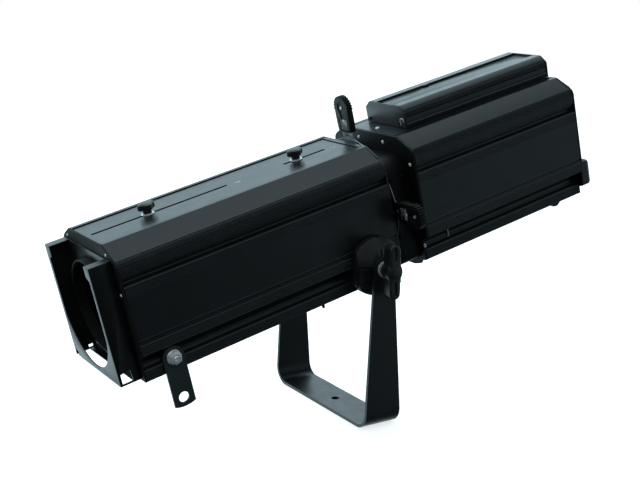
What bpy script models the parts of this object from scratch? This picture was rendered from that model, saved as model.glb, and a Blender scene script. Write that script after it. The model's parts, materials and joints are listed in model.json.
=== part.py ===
"""An ellipsoidal profile spotlight on its yoke, as an assembly of separate solids.

Metres, +Z up. The origin is the centre of the mounting hole, on the yoke's underside. The lens end points
along -X. The housing is drawn in its own frame, which an empty on the tilt axis carries: s runs backwards
along the optical axis, y across, and h upwards from the tilt axis.
"""

import math

import bmesh
import bpy
from mathutils import Matrix, Vector

# ---- Driving dimensions ---------------------------------------------------------------------------------
CLEAR = 0.0004
TILT = math.radians(13.0)

# Yoke: a flat strip bent into a U
PIVOT_Z = 0.244
YOKE_THICK = 0.005
YOKE_OUTER_Y = 0.1315
YOKE_BEND = 0.026
YOKE_BASE_HALF = 0.030
YOKE_TOP_HALF = 0.0170
YOKE_HOLE_R = 0.0065
PIVOT_HOLE_R = 0.0055

# Tilt clamp
STUD_R = 0.005
DRUM_R = 0.0435
DRUM_HALF = 0.0365
DRUM_IN_Y = 0.1014
WASHER_R = 0.0125
WASHER_THICK = 0.002
STUD_HEAD_R = 0.0085
STUD_HEAD_Y = (0.0775, 0.0825)
STUD_IN_KNOB = 0.012
KNOB_HUB_R = 0.015
KNOB_NECK = 0.006
KNOB_BAR_LONG = 0.081
KNOB_BAR_THICK = 0.013
KNOB_BAR_DEEP = 0.018

# Housing: optical axis, wall, stations along s
AXIS_H = 0.060
WALL = 0.0025
SHEET = 0.002
TOP_H = 0.160
BOTTOM_H = -0.033
END_GAP = 0.0003
BARREL_FRONT = -0.375
BARREL_REAR = 0.052
REAR_LIP = 0.008
LAMP_FRONT = 0.1045
LAMP_REAR = 0.419
BARREL_TOP_HALF = 0.060
BARREL_HALF = 0.100
LAMP_TOP_HALF = 0.070
LAMP_HALF = 0.1045
RAIL_WIDE = 0.008
RAIL_DEEP = 0.0035
FOOT_HALF = 0.0915
FLOOR_HALF = FOOT_HALF - 0.014
FOOT_TOP = 0.0010
PANEL_LOW = 0.0070

# Top slots and the two lens carriages that run under them
SLOT_HALF = 0.003
FRONT_SLOT = (-0.365, -0.1525)
REAR_SLOT = (-0.0575, 0.016)
FRONT_LENS_S = -0.279
REAR_LENS_S = -0.035
LENS_R = 0.070
LENS_EDGE = 0.003
CELL_R = 0.0775
CELL_HALF = 0.006
PAD_HALF = 0.016
ROD_BOSS = 0.0082
ROD_Y = 0.068
ROD_H = -0.008
ROD_R = 0.004

# Lens clamps: a stud up through the slot, a washer and a four-lobed knob
CLAMP_STUD_R = 0.0026
CLAMP_STUD_UP = 0.012
CLAMP_STUD_DOWN = 0.010
CLAMP_WASHER_R = 0.0095
CLAMP_WASHER_THICK = 0.0015
LOBED_R = 0.0115
LOBED_SWELL = 0.0015
LOBED_THICK = 0.009
LOBED_NECK_R = 0.0065
LOBED_NECK = 0.006

# Gate
GATE_HALF = 0.084
GATE_TOP = 0.134
GATE_LOW = -0.030
GATE_CORNER = 0.030
GATE_LOW_CORNER = 0.010
GATE_FRONT = BARREL_REAR + 0.0004
APERTURE_S = 0.082
APERTURE_R = 0.038
LIGHT_HOLE_R = 0.060
GATE_WALL = 0.003
FLANGE_S = 0.0986
FLANGE_THICK = 0.004
FLANGE_LIP_H = -0.045

# Shutters: plane along s, and distances from the optical axis
SHUTTER_PLANES = {"top": 0.061, "near": 0.065, "bottom": 0.069, "far": 0.073}
SHUTTER_PUSHED = {"top": -0.006, "near": 0.006, "bottom": -0.003, "far": 0.003}
SHUTTER_TURNS = {"top": 0.0, "near": 90.0, "bottom": 180.0, "far": 270.0}
BLADE_THICK = 0.0015
BLADE_HALF = 0.046
STEM_HALF = 0.0135
BLADE_INNER = 0.015
BLADE_SHOULDER = (0.086, 0.095)
STEM_END = 0.122
HANDLE_FROM = 0.1065
HANDLE_TO = 0.1625
HANDLE_HALF = 0.019
HANDLE_THICK = 0.010

# Colour frame holder
HOLDER_HALF = 0.082
HOLDER_TOP = 0.143
HOLDER_BOTTOM = -0.029
HOLDER_BACK = BARREL_FRONT - CLEAR - SHEET
HOLDER_FRONT = -0.407
HOLDER_LIP = 0.017
HOLDER_OPENING = 0.0755
HOLDER_FLOOR = 0.008
COLLAR_R = 0.0690
COLLAR_LONG = 0.014

# Lamphouse
VENT_FRONT = 0.1326
VENT_REAR = 0.4184
VENT_HALF = 0.052
VENT_TOP_HALF = 0.0395
VENT_LID_HALF = 0.0235
VENT_SHOULDER_H = 0.185
VENT_H = 0.1944
VENT_RECESS = 0.0048
LID_THICK = 0.0015
REFLECTOR_FRONT = 0.150
REFLECTOR_LONG = 0.120
REFLECTOR_R = 0.074
REFLECTOR_HOLE = 0.020
REFLECTOR_THICK = 0.002
LAMP_S = 0.220
LAMP_BACK = 0.048
LAMP_TIP = -0.039
LAMP_R = 0.009
LAMP_PINCH_R = 0.0085
SOCKET_R = 0.016
SOCKET_LONG = 0.024
TRAY_HALF = 0.024
TRAY_SHEET = 0.004
GLAND_S = 0.392
GLAND_Y = -0.055
GLAND_R = 0.008
GLAND_BORE = 0.005
CAP_DEEP = 0.019
CAP_WALL = 0.003
CAP_LOW = -0.021
CAP_HIGH = 0.022
CAP_COVER_HALF = 0.052
CAP_COVER_TOP = 0.112

# Safety lug, hung from the near side of the barrel
LUG_S = -0.3295
LUG_H = -0.012
LUG_Y = -0.0925
LUG_HALF = 0.0158
LUG_LONG = 0.061
LUG_THICK = 0.003
LUG_HOLE_R = 0.0078
LUG_BOLT_R = 0.005
LUG_BOLT_HEAD_R = 0.009
LUG_NUT_R = 0.0098
LUG_NUT_THICK = 0.009
LUG_NUT_FLANGE_R = 0.0108
LUG_NUT_FLANGE = 0.002

ROUND = 40
SMALL_ROUND = 20


# ---- Scene, collections, materials ----------------------------------------------------------------------
for old in list(bpy.data.objects):
    bpy.data.objects.remove(old, do_unlink=True)

parts = bpy.data.collections.new("ellipsoidal_spotlight")
cutters = bpy.data.collections.new("cutters")
cutters.hide_render = True
bpy.context.scene.collection.children.link(parts)
bpy.context.scene.collection.children.link(cutters)


def material(name, colour, roughness, metallic):
    made = bpy.data.materials.new(name)
    made.use_nodes = True
    shader = made.node_tree.nodes["Principled BSDF"]
    shader.inputs["Base Color"].default_value = (*colour, 1.0)
    shader.inputs["Roughness"].default_value = roughness
    shader.inputs["Metallic"].default_value = metallic
    return made


BLACK_PAINT = ((0.018, 0.019, 0.021), 0.42, 0.0)
DARK_INSIDE = ((0.010, 0.010, 0.011), 0.75, 0.0)
BLACK_PLASTIC = ((0.012, 0.012, 0.013), 0.38, 0.0)
ZINC = ((0.62, 0.63, 0.64), 0.28, 1.0)
GREY_STEEL = ((0.30, 0.31, 0.32), 0.38, 1.0)
BRIGHT_ALUMINIUM = ((0.80, 0.80, 0.80), 0.15, 1.0)
GLASS = ((0.85, 0.92, 0.90), 0.03, 0.0)
CERAMIC = ((0.80, 0.78, 0.72), 0.60, 0.0)


def finish(made, look):
    """Gives a part its own material and puts it in the parts collection."""
    made.data.materials.clear()
    made.data.materials.append(material(made.name + "_finish", *look))
    for holder in list(made.users_collection):
        holder.objects.unlink(made)
    parts.objects.link(made)
    return made


# ---- Frames ---------------------------------------------------------------------------------------------
def empty(name, matrix, parent=None):
    made = bpy.data.objects.new(name, None)
    parts.objects.link(made)
    made.parent = parent
    made.matrix_local = matrix
    return made


housing = empty("housing_frame", Matrix.Translation((0, 0, PIVOT_Z)) @ Matrix.Rotation(-TILT, 4, "Y"))

# Local X, Y, Z of a flat outline or a turned shape laid along (y, h, s), (s, h, -y) or (s, y, h)
ALONG_S = Matrix(((0, 0, 1, 0), (1, 0, 0, 0), (0, 1, 0, 0), (0, 0, 0, 1)))
ALONG_Y = Matrix(((1, 0, 0, 0), (0, 0, -1, 0), (0, 1, 0, 0), (0, 0, 0, 1)))
ALONG_H = Matrix.Identity(4)


def place(made, parent, point, axes=ALONG_H):
    made.parent = parent
    made.matrix_local = Matrix.Translation(point) @ axes
    return made


# ---- Outlines -------------------------------------------------------------------------------------------
def arc(centre, radius, start, end, steps):
    """Points from start to end, in degrees."""
    angles = [math.radians(start + (end - start) * i / steps) for i in range(steps + 1)]
    return [(centre[0] + radius * math.cos(a), centre[1] + radius * math.sin(a)) for a in angles]


def circle(centre, radius, steps=ROUND):
    return arc(centre, radius, 0, 360, steps)[:-1]


def rectangle(low, high):
    return [(low[0], low[1]), (high[0], low[1]), (high[0], high[1]), (low[0], high[1])]


def slot(start, end, half):
    """A round-ended slot along the first axis, centred on the second."""
    return arc((end - half, 0), half, -90, 90, 8) + arc((start + half, 0), half, 90, 270, 8)


def both_sides(half):
    """An outline from its right half, given from bottom to top."""
    return half + [(-x, y) for x, y in reversed(half)]


# ---- Solids ---------------------------------------------------------------------------------------------
def flat(name, outlines, thickness):
    """A plate: the first outline filled, the others cut out of it, centred on its own plane."""
    curve = bpy.data.curves.new(name, "CURVE")
    curve.dimensions = "2D"
    curve.fill_mode = "BOTH"
    curve.extrude = thickness / 2
    for outline in outlines:
        spline = curve.splines.new("POLY")
        spline.points.add(len(outline) - 1)
        spline.use_cyclic_u = True
        for point, (x, y) in zip(spline.points, outline):
            point.co = (x, y, 0, 1)
    made = bpy.data.objects.new(name, curve)
    parts.objects.link(made)
    return made


def as_mesh(made):
    """The evaluated object as a plain welded mesh, in place of the curve or of the modifiers."""
    bpy.context.view_layer.update()
    graph = bpy.context.evaluated_depsgraph_get()
    mesh = bpy.data.meshes.new_from_object(made.evaluated_get(graph))
    loose = bmesh.new()
    loose.from_mesh(mesh)
    bmesh.ops.remove_doubles(loose, verts=loose.verts, dist=1e-6)
    bmesh.ops.recalc_face_normals(loose, faces=loose.faces)
    loose.to_mesh(mesh)
    loose.free()
    name, parent, local = made.name, made.parent, made.matrix_local.copy()
    homes = list(made.users_collection)
    bpy.data.objects.remove(made, do_unlink=True)
    solid = bpy.data.objects.new(name, mesh)
    for home in homes:
        home.objects.link(solid)
    solid.parent = parent
    solid.matrix_local = local
    return solid


def mesh_object(name, shape):
    bmesh.ops.recalc_face_normals(shape, faces=shape.faces)
    mesh = bpy.data.meshes.new(name)
    shape.to_mesh(mesh)
    shape.free()
    made = bpy.data.objects.new(name, mesh)
    parts.objects.link(made)
    return made


def block(name, low, high):
    shape = bmesh.new()
    size = Vector(high) - Vector(low)
    middle = (Vector(high) + Vector(low)) / 2
    matrix = Matrix.Translation(middle) @ Matrix.Diagonal((*size, 1.0))
    bmesh.ops.create_cube(shape, size=1.0, matrix=matrix)
    return mesh_object(name, shape)


def rod(name, radius, start, end, steps=SMALL_ROUND):
    """A cylinder along its own Z."""
    shape = bmesh.new()
    middle = Matrix.Translation((0, 0, (start + end) / 2))
    bmesh.ops.create_cone(
        shape, cap_ends=True, segments=steps, radius1=radius, radius2=radius, depth=end - start, matrix=middle
    )
    return mesh_object(name, shape)


def turned(name, profile, steps=ROUND):
    """A turned solid about its own Z. The profile is (radius, z), running down the outer side."""
    mesh = bpy.data.meshes.new(name)
    points = [(radius, 0, z) for radius, z in profile]
    closed = profile[0][0] > 1e-6
    edges = [(i, i + 1) for i in range(len(points) - 1)]
    if closed:
        edges.append((len(points) - 1, 0))
    mesh.from_pydata(points, edges, [])
    made = bpy.data.objects.new(name, mesh)
    parts.objects.link(made)
    screw = made.modifiers.new("turn", "SCREW")
    screw.steps = steps
    screw.render_steps = steps
    screw.use_merge_vertices = True
    screw.merge_threshold = 1e-5
    screw.use_smooth_shade = True
    return made


def folded(name, path, start, end, thickness):
    """A sheet that follows a path in (y, h) from start to end along s."""
    shape = bmesh.new()
    first = [shape.verts.new((start, y, h)) for y, h in path]
    last = [shape.verts.new((end, y, h)) for y, h in path]
    for i in range(len(path) - 1):
        shape.faces.new((first[i], first[i + 1], last[i + 1], last[i]))
    mesh = bpy.data.meshes.new(name)
    shape.to_mesh(mesh)
    shape.free()
    made = bpy.data.objects.new(name, mesh)
    parts.objects.link(made)
    solidify = made.modifiers.new("sheet", "SOLIDIFY")
    solidify.thickness = thickness
    solidify.offset = 1.0
    solidify.use_even_offset = True
    return made


def cut(made, *tools, operation="DIFFERENCE"):
    """Cuts the tools out of the part, or joins them to it."""
    for tool in tools:
        if tool.type != "MESH" or tool.modifiers:
            tool = as_mesh(tool)
        for home in list(tool.users_collection):
            home.objects.unlink(tool)
        cutters.objects.link(tool)
        tool.hide_render = True
        tool.display_type = "WIRE"
        boolean = made.modifiers.new(tool.name, "BOOLEAN")
        boolean.operation = operation
        boolean.object = tool
    return made


def bevelled(made, width, segments=2, limit=40):
    bevel = made.modifiers.new("edges", "BEVEL")
    bevel.width = width
    bevel.segments = segments
    bevel.limit_method = "ANGLE"
    bevel.angle_limit = math.radians(limit)
    return made


def smooth(made, angle=35):
    made.data.shade_smooth()
    made.data.set_sharp_from_angle(angle=math.radians(angle))
    return made


# ---- Yoke -----------------------------------------------------------------------------------------------
def yoke_half_width(z):
    """The strip narrows from the base to the pivot, where it ends in a half round."""
    if z > PIVOT_Z:
        return math.sqrt(max(YOKE_TOP_HALF**2 - (z - PIVOT_Z) ** 2, 0.002**2))
    share = min(max((z - YOKE_BEND) / (PIVOT_Z - YOKE_BEND), 0), 1)
    return YOKE_BASE_HALF + (YOKE_TOP_HALF - YOKE_BASE_HALF) * share


def make_yoke():
    end_angles = [math.radians(90 * i / 7) for i in range(7, -1, -1)]
    near_leg = [(-YOKE_OUTER_Y, PIVOT_Z + YOKE_TOP_HALF * math.sin(a)) for a in end_angles]
    near_bend = arc((-YOKE_OUTER_Y + YOKE_BEND, YOKE_BEND), YOKE_BEND, 180, 270, 8)
    half_path = near_leg + near_bend
    path = half_path + [(-y, z) for y, z in reversed(half_path)]
    shape = bmesh.new()
    rows = []
    for y, z in path:
        half = yoke_half_width(z)
        rows.append([shape.verts.new((x, y, z)) for x in (-half, half)])
    for low, high in zip(rows, rows[1:]):
        shape.faces.new((low[0], high[0], high[1], low[1]))
    mesh = bpy.data.meshes.new("yoke")
    shape.to_mesh(mesh)
    shape.free()
    yoke = bpy.data.objects.new("yoke", mesh)
    parts.objects.link(yoke)
    solidify = yoke.modifiers.new("sheet", "SOLIDIFY")
    solidify.thickness = YOKE_THICK
    solidify.offset = -1.0
    hole = rod("yoke_hole_cutter", YOKE_HOLE_R, -YOKE_THICK, 2 * YOKE_THICK, 24)
    pivots = rod("yoke_pivot_cutter", PIVOT_HOLE_R, -0.2, 0.2, 24)
    place(pivots, None, (0, 0, PIVOT_Z), ALONG_Y)
    bpy.context.view_layer.update()
    cut(yoke, hole, pivots)
    finish(yoke, BLACK_PAINT)


# ---- Tilt clamp, once on each side ----------------------------------------------------------------------
def make_tilt_clamp(side, sign):
    """sign is -1 on the near side, +1 on the far side; local Z points outwards along y."""
    outwards = ALONG_Y if sign < 0 else ALONG_Y @ Matrix.Rotation(math.pi, 4, "X")
    leg_inner = YOKE_OUTER_Y - YOKE_THICK
    depth = leg_inner - CLEAR - DRUM_IN_Y
    corner = math.degrees(math.acos(DRUM_HALF / DRUM_R))
    outline = arc((0, 0), DRUM_R, corner, 180 - corner, 12)
    outline += arc((0, 0), DRUM_R, 180 + corner, 360 - corner, 12)
    drum = as_mesh(flat(f"tilt_drum_{side}", [outline, circle((0, 0), STUD_R + CLEAR, 16)], depth))
    drum.data.transform(Matrix.Translation((0, 0, DRUM_IN_Y + depth / 2)))
    base = Matrix.Translation((0, 0, PIVOT_Z))
    place(drum, None, (0, 0, 0), base @ outwards)
    finish(drum, BLACK_PLASTIC)

    knob_from = YOKE_OUTER_Y + WASHER_THICK + 2 * CLEAR
    stud_end = knob_from + STUD_IN_KNOB
    head_low, head_high = STUD_HEAD_Y
    stud = turned(
        f"tilt_stud_{side}",
        [
            (0, stud_end),
            (STUD_R, stud_end),
            (STUD_R, head_high),
            (STUD_HEAD_R, head_high),
            (STUD_HEAD_R, head_low),
            (0, head_low),
        ],
        16,
    )
    place(stud, housing, (0, 0, 0), outwards)
    finish(stud, ZINC)

    washer = turned(
        f"tilt_washer_{side}",
        [
            (STUD_R + CLEAR, YOKE_OUTER_Y + CLEAR + WASHER_THICK),
            (WASHER_R, YOKE_OUTER_Y + CLEAR + WASHER_THICK),
            (WASHER_R, YOKE_OUTER_Y + CLEAR),
            (STUD_R + CLEAR, YOKE_OUTER_Y + CLEAR),
        ],
        28,
    )
    place(washer, None, (0, 0, 0), base @ outwards)
    finish(washer, ZINC)

    axis = empty(f"tilt_knob_{side}_axis", base @ outwards)
    bar_low = knob_from + KNOB_NECK
    bar_high = bar_low + KNOB_BAR_DEEP
    hub = turned(
        f"tilt_knob_{side}_hub",
        [(0, bar_high + 0.0015), (KNOB_HUB_R - 0.004, bar_high), (KNOB_HUB_R, knob_from), (0, knob_from)],
        24,
    )
    half = KNOB_BAR_LONG / 2
    lobe = KNOB_BAR_THICK / 2
    outline = both_sides(
        [(lobe * 0.75, -half + 0.002), (lobe, -half * 0.75), (lobe * 0.8, -half * 0.4), (lobe, 0)]
        + [(lobe * 0.8, half * 0.4), (lobe, half * 0.75), (lobe * 0.75, half - 0.002)]
    )
    outline = outline[:7] + [(0, half)] + outline[7:] + [(0, -half)]
    bar = as_mesh(flat(f"tilt_knob_{side}", [outline], KNOB_BAR_DEEP))
    bar.data.transform(Matrix.Translation((0, 0, (bar_low + bar_high) / 2)))
    bore = rod(f"tilt_knob_{side}_bore", STUD_R + CLEAR, knob_from - 0.005, stud_end + CLEAR, 16)
    for tool in (hub, bore):
        place(tool, axis, (0, 0, 0))
    place(bar, axis, (0, 0, 0))
    bpy.context.view_layer.update()
    cut(bar, hub, operation="UNION")
    cut(bar, bore)
    finish(bar, BLACK_PLASTIC)


# ---- Extruded side profiles and the plates between them -------------------------------------------------
def side_path(top_half, half, shoulder):
    """The profile of the far side from the top rail down to the foot, as (y, h)."""
    rail = [(top_half - RAIL_WIDE, TOP_H - RAIL_DEEP), (top_half - RAIL_WIDE, TOP_H), (top_half, TOP_H)]
    upper_undercut = [(half, 0.116), (half - 0.007, 0.114), (half - 0.007, 0.108), (half, 0.106)]
    lower_undercut = [(half, 0.007), (half - 0.0085, 0.0045), (half - 0.012, -0.003), (half - 0.013, -0.010)]
    foot = [(FOOT_HALF - 0.002, -0.015), (FOOT_HALF, -0.017), (FOOT_HALF, BOTTOM_H), (FLOOR_HALF, BOTTOM_H)]
    return rail + shoulder + upper_undercut + lower_undercut + foot


BARREL_SHOULDER = [(0.085, 0.147), (0.0965, 0.137), (BARREL_HALF, 0.130)]
LAMP_SHOULDER = [(0.096, 0.1475), (0.1025, 0.142), (LAMP_HALF, 0.137)]


def make_sides(prefix, top_half, half, shoulder, start, end):
    path = side_path(top_half, half, shoulder)
    far = folded(f"{prefix}_side_far", path, start, end, WALL)
    near = folded(f"{prefix}_side_near", [(-y, h) for y, h in reversed(path)], start, end, WALL)
    for side in (far, near):
        place(side, housing, (0, 0, 0))
        finish(side, BLACK_PAINT)
    return far, near


def make_barrel():
    end = BARREL_REAR - SHEET - END_GAP
    start = BARREL_FRONT + SHEET + END_GAP
    far, near = make_sides("barrel", BARREL_TOP_HALF, BARREL_HALF, BARREL_SHOULDER, start, end)
    lug_hole = rod("lug_bolt_hole", LUG_BOLT_R + CLEAR, -0.02, 0.04, 16)
    place(lug_hole, housing, (LUG_S, LUG_Y, LUG_H), ALONG_Y @ Matrix.Rotation(math.pi, 4, "X"))
    stud_hole = rod("tilt_stud_hole", STUD_R + CLEAR, -0.12, 0.12, 16)
    place(stud_hole, housing, (0, 0, 0), ALONG_Y)
    bpy.context.view_layer.update()
    cut(near, lug_hole, stud_hole)
    cut(far, stud_hole)

    plate_half = BARREL_TOP_HALF - RAIL_WIDE - WALL - CLEAR
    plate_end = BARREL_REAR - REAR_LIP
    middle = (start + plate_end) / 2
    long_half = (plate_end - start) / 2
    slots = [slot(a - middle, b - middle, SLOT_HALF) for a, b in (FRONT_SLOT, REAR_SLOT)]
    plate = rectangle((-long_half, -plate_half), (long_half, plate_half))
    top = flat("barrel_top_plate", [plate] + slots, SHEET)
    place(top, housing, (middle, 0, TOP_H - RAIL_DEEP + SHEET / 2))
    finish(top, BLACK_PAINT)

    floor_half = FLOOR_HALF - CLEAR
    middle = (start + end) / 2
    long_half = (end - start) / 2
    plate = rectangle((-long_half, -floor_half), (long_half, floor_half))
    bottom = flat("barrel_bottom_plate", [plate], SHEET)
    place(bottom, housing, (middle, 0, BOTTOM_H + SHEET / 2))
    finish(bottom, BLACK_PAINT)


def end_outline(top_half, half, shoulder, low):
    """The outline of an end plate, closing the section over its undercuts."""
    right = [(FOOT_HALF - 0.001, low), (FOOT_HALF, low + 0.001), (FOOT_HALF, FOOT_TOP), (half, PANEL_LOW)]
    right += list(reversed([(top_half, TOP_H)] + shoulder))
    return both_sides(right)


def make_end_plates():
    barrel_outline = end_outline(BARREL_TOP_HALF, BARREL_HALF, BARREL_SHOULDER, BOTTOM_H)
    bore = COLLAR_R - WALL
    front = flat("barrel_front_plate", [barrel_outline, circle((0, AXIS_H), bore, 48)], SHEET)
    place(front, housing, (BARREL_FRONT + SHEET / 2, 0, 0), ALONG_S)
    front = as_mesh(front)
    collar = flat("collar", [circle((0, AXIS_H), COLLAR_R, 48), circle((0, AXIS_H), bore, 48)], COLLAR_LONG)
    place(collar, housing, (BARREL_FRONT + SHEET / 2 - COLLAR_LONG / 2, 0, 0), ALONG_S)
    rear = flat("barrel_rear_plate", [barrel_outline, circle((0, AXIS_H), LIGHT_HOLE_R, 48)], SHEET)
    place(rear, housing, (BARREL_REAR - SHEET / 2, 0, 0), ALONG_S)
    rear = as_mesh(rear)
    lip_half = BARREL_TOP_HALF - RAIL_WIDE - WALL - CLEAR
    lip = block(
        "rear_lip",
        (BARREL_REAR - REAR_LIP + CLEAR, -lip_half, TOP_H - SHEET),
        (BARREL_REAR - SHEET / 2, lip_half, TOP_H - 0.0002),
    )
    place(lip, housing, (0, 0, 0))
    bpy.context.view_layer.update()
    cut(front, collar, operation="UNION")
    cut(rear, lip, operation="UNION")
    finish(front, BLACK_PAINT)
    finish(rear, BLACK_PAINT)


# ---- Colour frame holder --------------------------------------------------------------------------------
def holder_front_outline():
    """A plate with clipped lower corners and a round opening that runs out at the top."""
    edge = HOLDER_HALF - HOLDER_LIP
    rim = math.degrees(math.acos(edge / HOLDER_OPENING))
    clip = 0.005
    middle = (HOLDER_TOP + HOLDER_BOTTOM) / 2
    return [
        (-edge, HOLDER_TOP),
        (-HOLDER_HALF, HOLDER_TOP),
        (-HOLDER_HALF, HOLDER_BOTTOM + clip),
        (clip - HOLDER_HALF, HOLDER_BOTTOM),
        (HOLDER_HALF - clip, HOLDER_BOTTOM),
        (HOLDER_HALF, HOLDER_BOTTOM + clip),
        (HOLDER_HALF, HOLDER_TOP),
        (edge, HOLDER_TOP),
    ] + arc((0, middle), HOLDER_OPENING, rim, -180 - rim, 36)


def make_holder():
    """One folded sheet: back plate with a floor lip, windowed side walls with a lip on top, front plate."""
    back_s = HOLDER_BACK + SHEET / 2
    front_s = HOLDER_FRONT + SHEET / 2
    square = rectangle((-HOLDER_HALF, HOLDER_BOTTOM), (HOLDER_HALF, HOLDER_TOP))
    holder = flat("colour_frame_holder", [square, circle((0, AXIS_H), COLLAR_R + CLEAR, 48)], SHEET)
    place(holder, housing, (back_s, 0, 0), ALONG_S)
    holder = as_mesh(holder)
    front = flat("holder_front", [holder_front_outline()], SHEET)
    place(front, housing, (front_s, 0, 0), ALONG_S)
    over = 0.0002
    floor = block(
        "holder_floor",
        (HOLDER_BACK - HOLDER_FLOOR, -HOLDER_HALF + over, HOLDER_BOTTOM + over),
        (HOLDER_BACK + SHEET - over, HOLDER_HALF - over, HOLDER_BOTTOM + SHEET),
    )
    tools = [front, floor]
    windows = []
    for sign in (-1, 1):
        outer = sign * HOLDER_HALF
        inner = sign * (HOLDER_HALF - SHEET)
        lip = sign * (HOLDER_HALF - HOLDER_LIP)
        wall = block(
            "holder_wall",
            (HOLDER_FRONT + over, min(outer, inner), HOLDER_BOTTOM + over),
            (HOLDER_BACK + SHEET - over, max(outer, inner), HOLDER_TOP),
        )
        top = block(
            "holder_lip",
            (HOLDER_FRONT + over, min(outer, lip), HOLDER_TOP - SHEET),
            (HOLDER_BACK + SHEET - over, max(outer, lip), HOLDER_TOP),
        )
        tools += [wall, top]
        windows.append(
            block(
                "holder_window",
                (HOLDER_FRONT + 0.004, min(outer, inner) - SHEET, HOLDER_BOTTOM + 0.003),
                (HOLDER_BACK - HOLDER_FLOOR - 0.002, max(outer, inner) + SHEET, HOLDER_BOTTOM + 0.020),
            )
        )
    for tool in tools[1:] + windows:
        place(tool, housing, (0, 0, 0))
    bpy.context.view_layer.update()
    cut(holder, *tools, operation="UNION")
    cut(holder, *windows)
    finish(holder, BLACK_PAINT)


# ---- Safety lug -----------------------------------------------------------------------------------------
def make_safety_lug():
    """A hanging lug with a hole for a safety bond, on a bolt with a flanged nut."""
    seat = -LUG_Y
    axis = empty("safety_lug_axis", Matrix.Translation((LUG_S, 0, LUG_H)), housing)
    end = arc((0, 0.030 - LUG_LONG), 0.0435, 270 - 21.3, 270 + 21.3, 8)
    outline = arc((0, 0), LUG_HALF, 0, 180, 12) + end
    holes = [circle((0, 0), LUG_BOLT_R + CLEAR, 20), circle((0, -LUG_LONG), LUG_HOLE_R, 24)]
    lug = flat("safety_lug", [outline] + holes, LUG_THICK)
    place(lug, axis, (0, -seat - LUG_THICK / 2, 0), ALONG_Y)
    finish(lug, BLACK_PAINT)

    bolt_end = seat + LUG_THICK + 0.012
    head_high = seat - 0.0095
    head_low = head_high - 0.005
    bolt = turned(
        "safety_lug_bolt",
        [
            (0, bolt_end),
            (LUG_BOLT_R, bolt_end),
            (LUG_BOLT_R, head_high),
            (LUG_BOLT_HEAD_R, head_high),
            (LUG_BOLT_HEAD_R, head_low),
            (0, head_low),
        ],
        20,
    )
    place(bolt, housing, (LUG_S, 0, LUG_H), ALONG_Y)
    finish(bolt, ZINC)

    nut_from = seat + LUG_THICK + CLEAR
    nut = as_mesh(flat("safety_lug_nut", [circle((0, 0), LUG_NUT_R, 6)], LUG_NUT_THICK))
    nut.data.transform(Matrix.Translation((0, 0, nut_from + LUG_NUT_THICK / 2 + 0.001)))
    flange = rod("safety_lug_nut_flange", LUG_NUT_FLANGE_R, nut_from, nut_from + LUG_NUT_FLANGE, 28)
    bore = rod("safety_lug_nut_bore", LUG_BOLT_R + CLEAR, nut_from - 0.01, nut_from + 0.02, 20)
    for piece in (nut, flange, bore):
        place(piece, housing, (LUG_S, 0, LUG_H), ALONG_Y)
    bpy.context.view_layer.update()
    cut(nut, flange, operation="UNION")
    cut(nut, bore)
    finish(nut, ZINC)


# ---- Lens carriages -------------------------------------------------------------------------------------
def make_guide_rods():
    for side, sign in (("near", -1), ("far", 1)):
        guide = rod(
            f"guide_rod_{side}", ROD_R, BARREL_FRONT + SHEET + CLEAR, BARREL_REAR - SHEET - CLEAR, 16
        )
        place(guide, housing, (0, sign * ROD_Y, ROD_H), ALONG_S)
        finish(guide, GREY_STEEL)


def make_cell(which, axis):
    """The plate that runs on both guide rods and carries the lens, with a pad on top for the stud."""
    pad_top = TOP_H - RAIL_DEEP - CLEAR
    wide = ROD_Y + ROD_BOSS
    lower = [(wide, ROD_H - 0.009), (wide, ROD_H + 0.012), (CELL_R - 0.002, AXIS_H - 0.016)]
    pad = [(PAD_HALF, AXIS_H + CELL_R), (PAD_HALF, pad_top)]
    outline = both_sides(lower + arc((0, AXIS_H), CELL_R, 0, 78, 10) + pad)
    holes = [circle((0, AXIS_H), LENS_R + CLEAR, 40)]
    holes += [circle((sign * ROD_Y, ROD_H), ROD_R + CLEAR, 16) for sign in (-1, 1)]
    cell = flat(f"{which}_lens_carriage", [outline] + holes, 2 * CELL_HALF)
    place(cell, axis, (0, 0, 0), ALONG_S)
    cell = as_mesh(cell)
    bore_low = pad_top - CLAMP_STUD_DOWN - 0.001
    bore = rod(f"{which}_stud_bore", CLAMP_STUD_R + CLEAR, bore_low, pad_top + 0.01, 16)
    place(bore, axis, (0, 0, 0))
    bpy.context.view_layer.update()
    cut(cell, bore)
    finish(cell, DARK_INSIDE)
    return pad_top


def make_lens(which, axis, bulge):
    """A plano-convex lens, bulging towards the front, held by a retaining ring behind it."""
    angles = [math.pi / 2 * i / 8 for i in range(9)]
    dome = [(LENS_R * math.sin(a), LENS_EDGE + bulge * math.cos(a)) for a in angles]
    lens = turned(f"{which}_lens", dome + [(LENS_R, -LENS_EDGE), (0, -LENS_EDGE)], 40)
    place(lens, axis, (0, 0, AXIS_H), ALONG_S @ Matrix.Rotation(math.pi, 4, "X"))
    finish(lens, GLASS)

    inner = LENS_R - 0.003
    outer = CELL_R - 0.0015
    low = CELL_HALF + CLEAR
    high = low + 0.0015
    ring = turned(f"{which}_lens_ring", [(inner, high), (outer, high), (outer, low), (inner, low)], 40)
    place(ring, axis, (0, 0, AXIS_H), ALONG_S)
    finish(ring, DARK_INSIDE)


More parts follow.
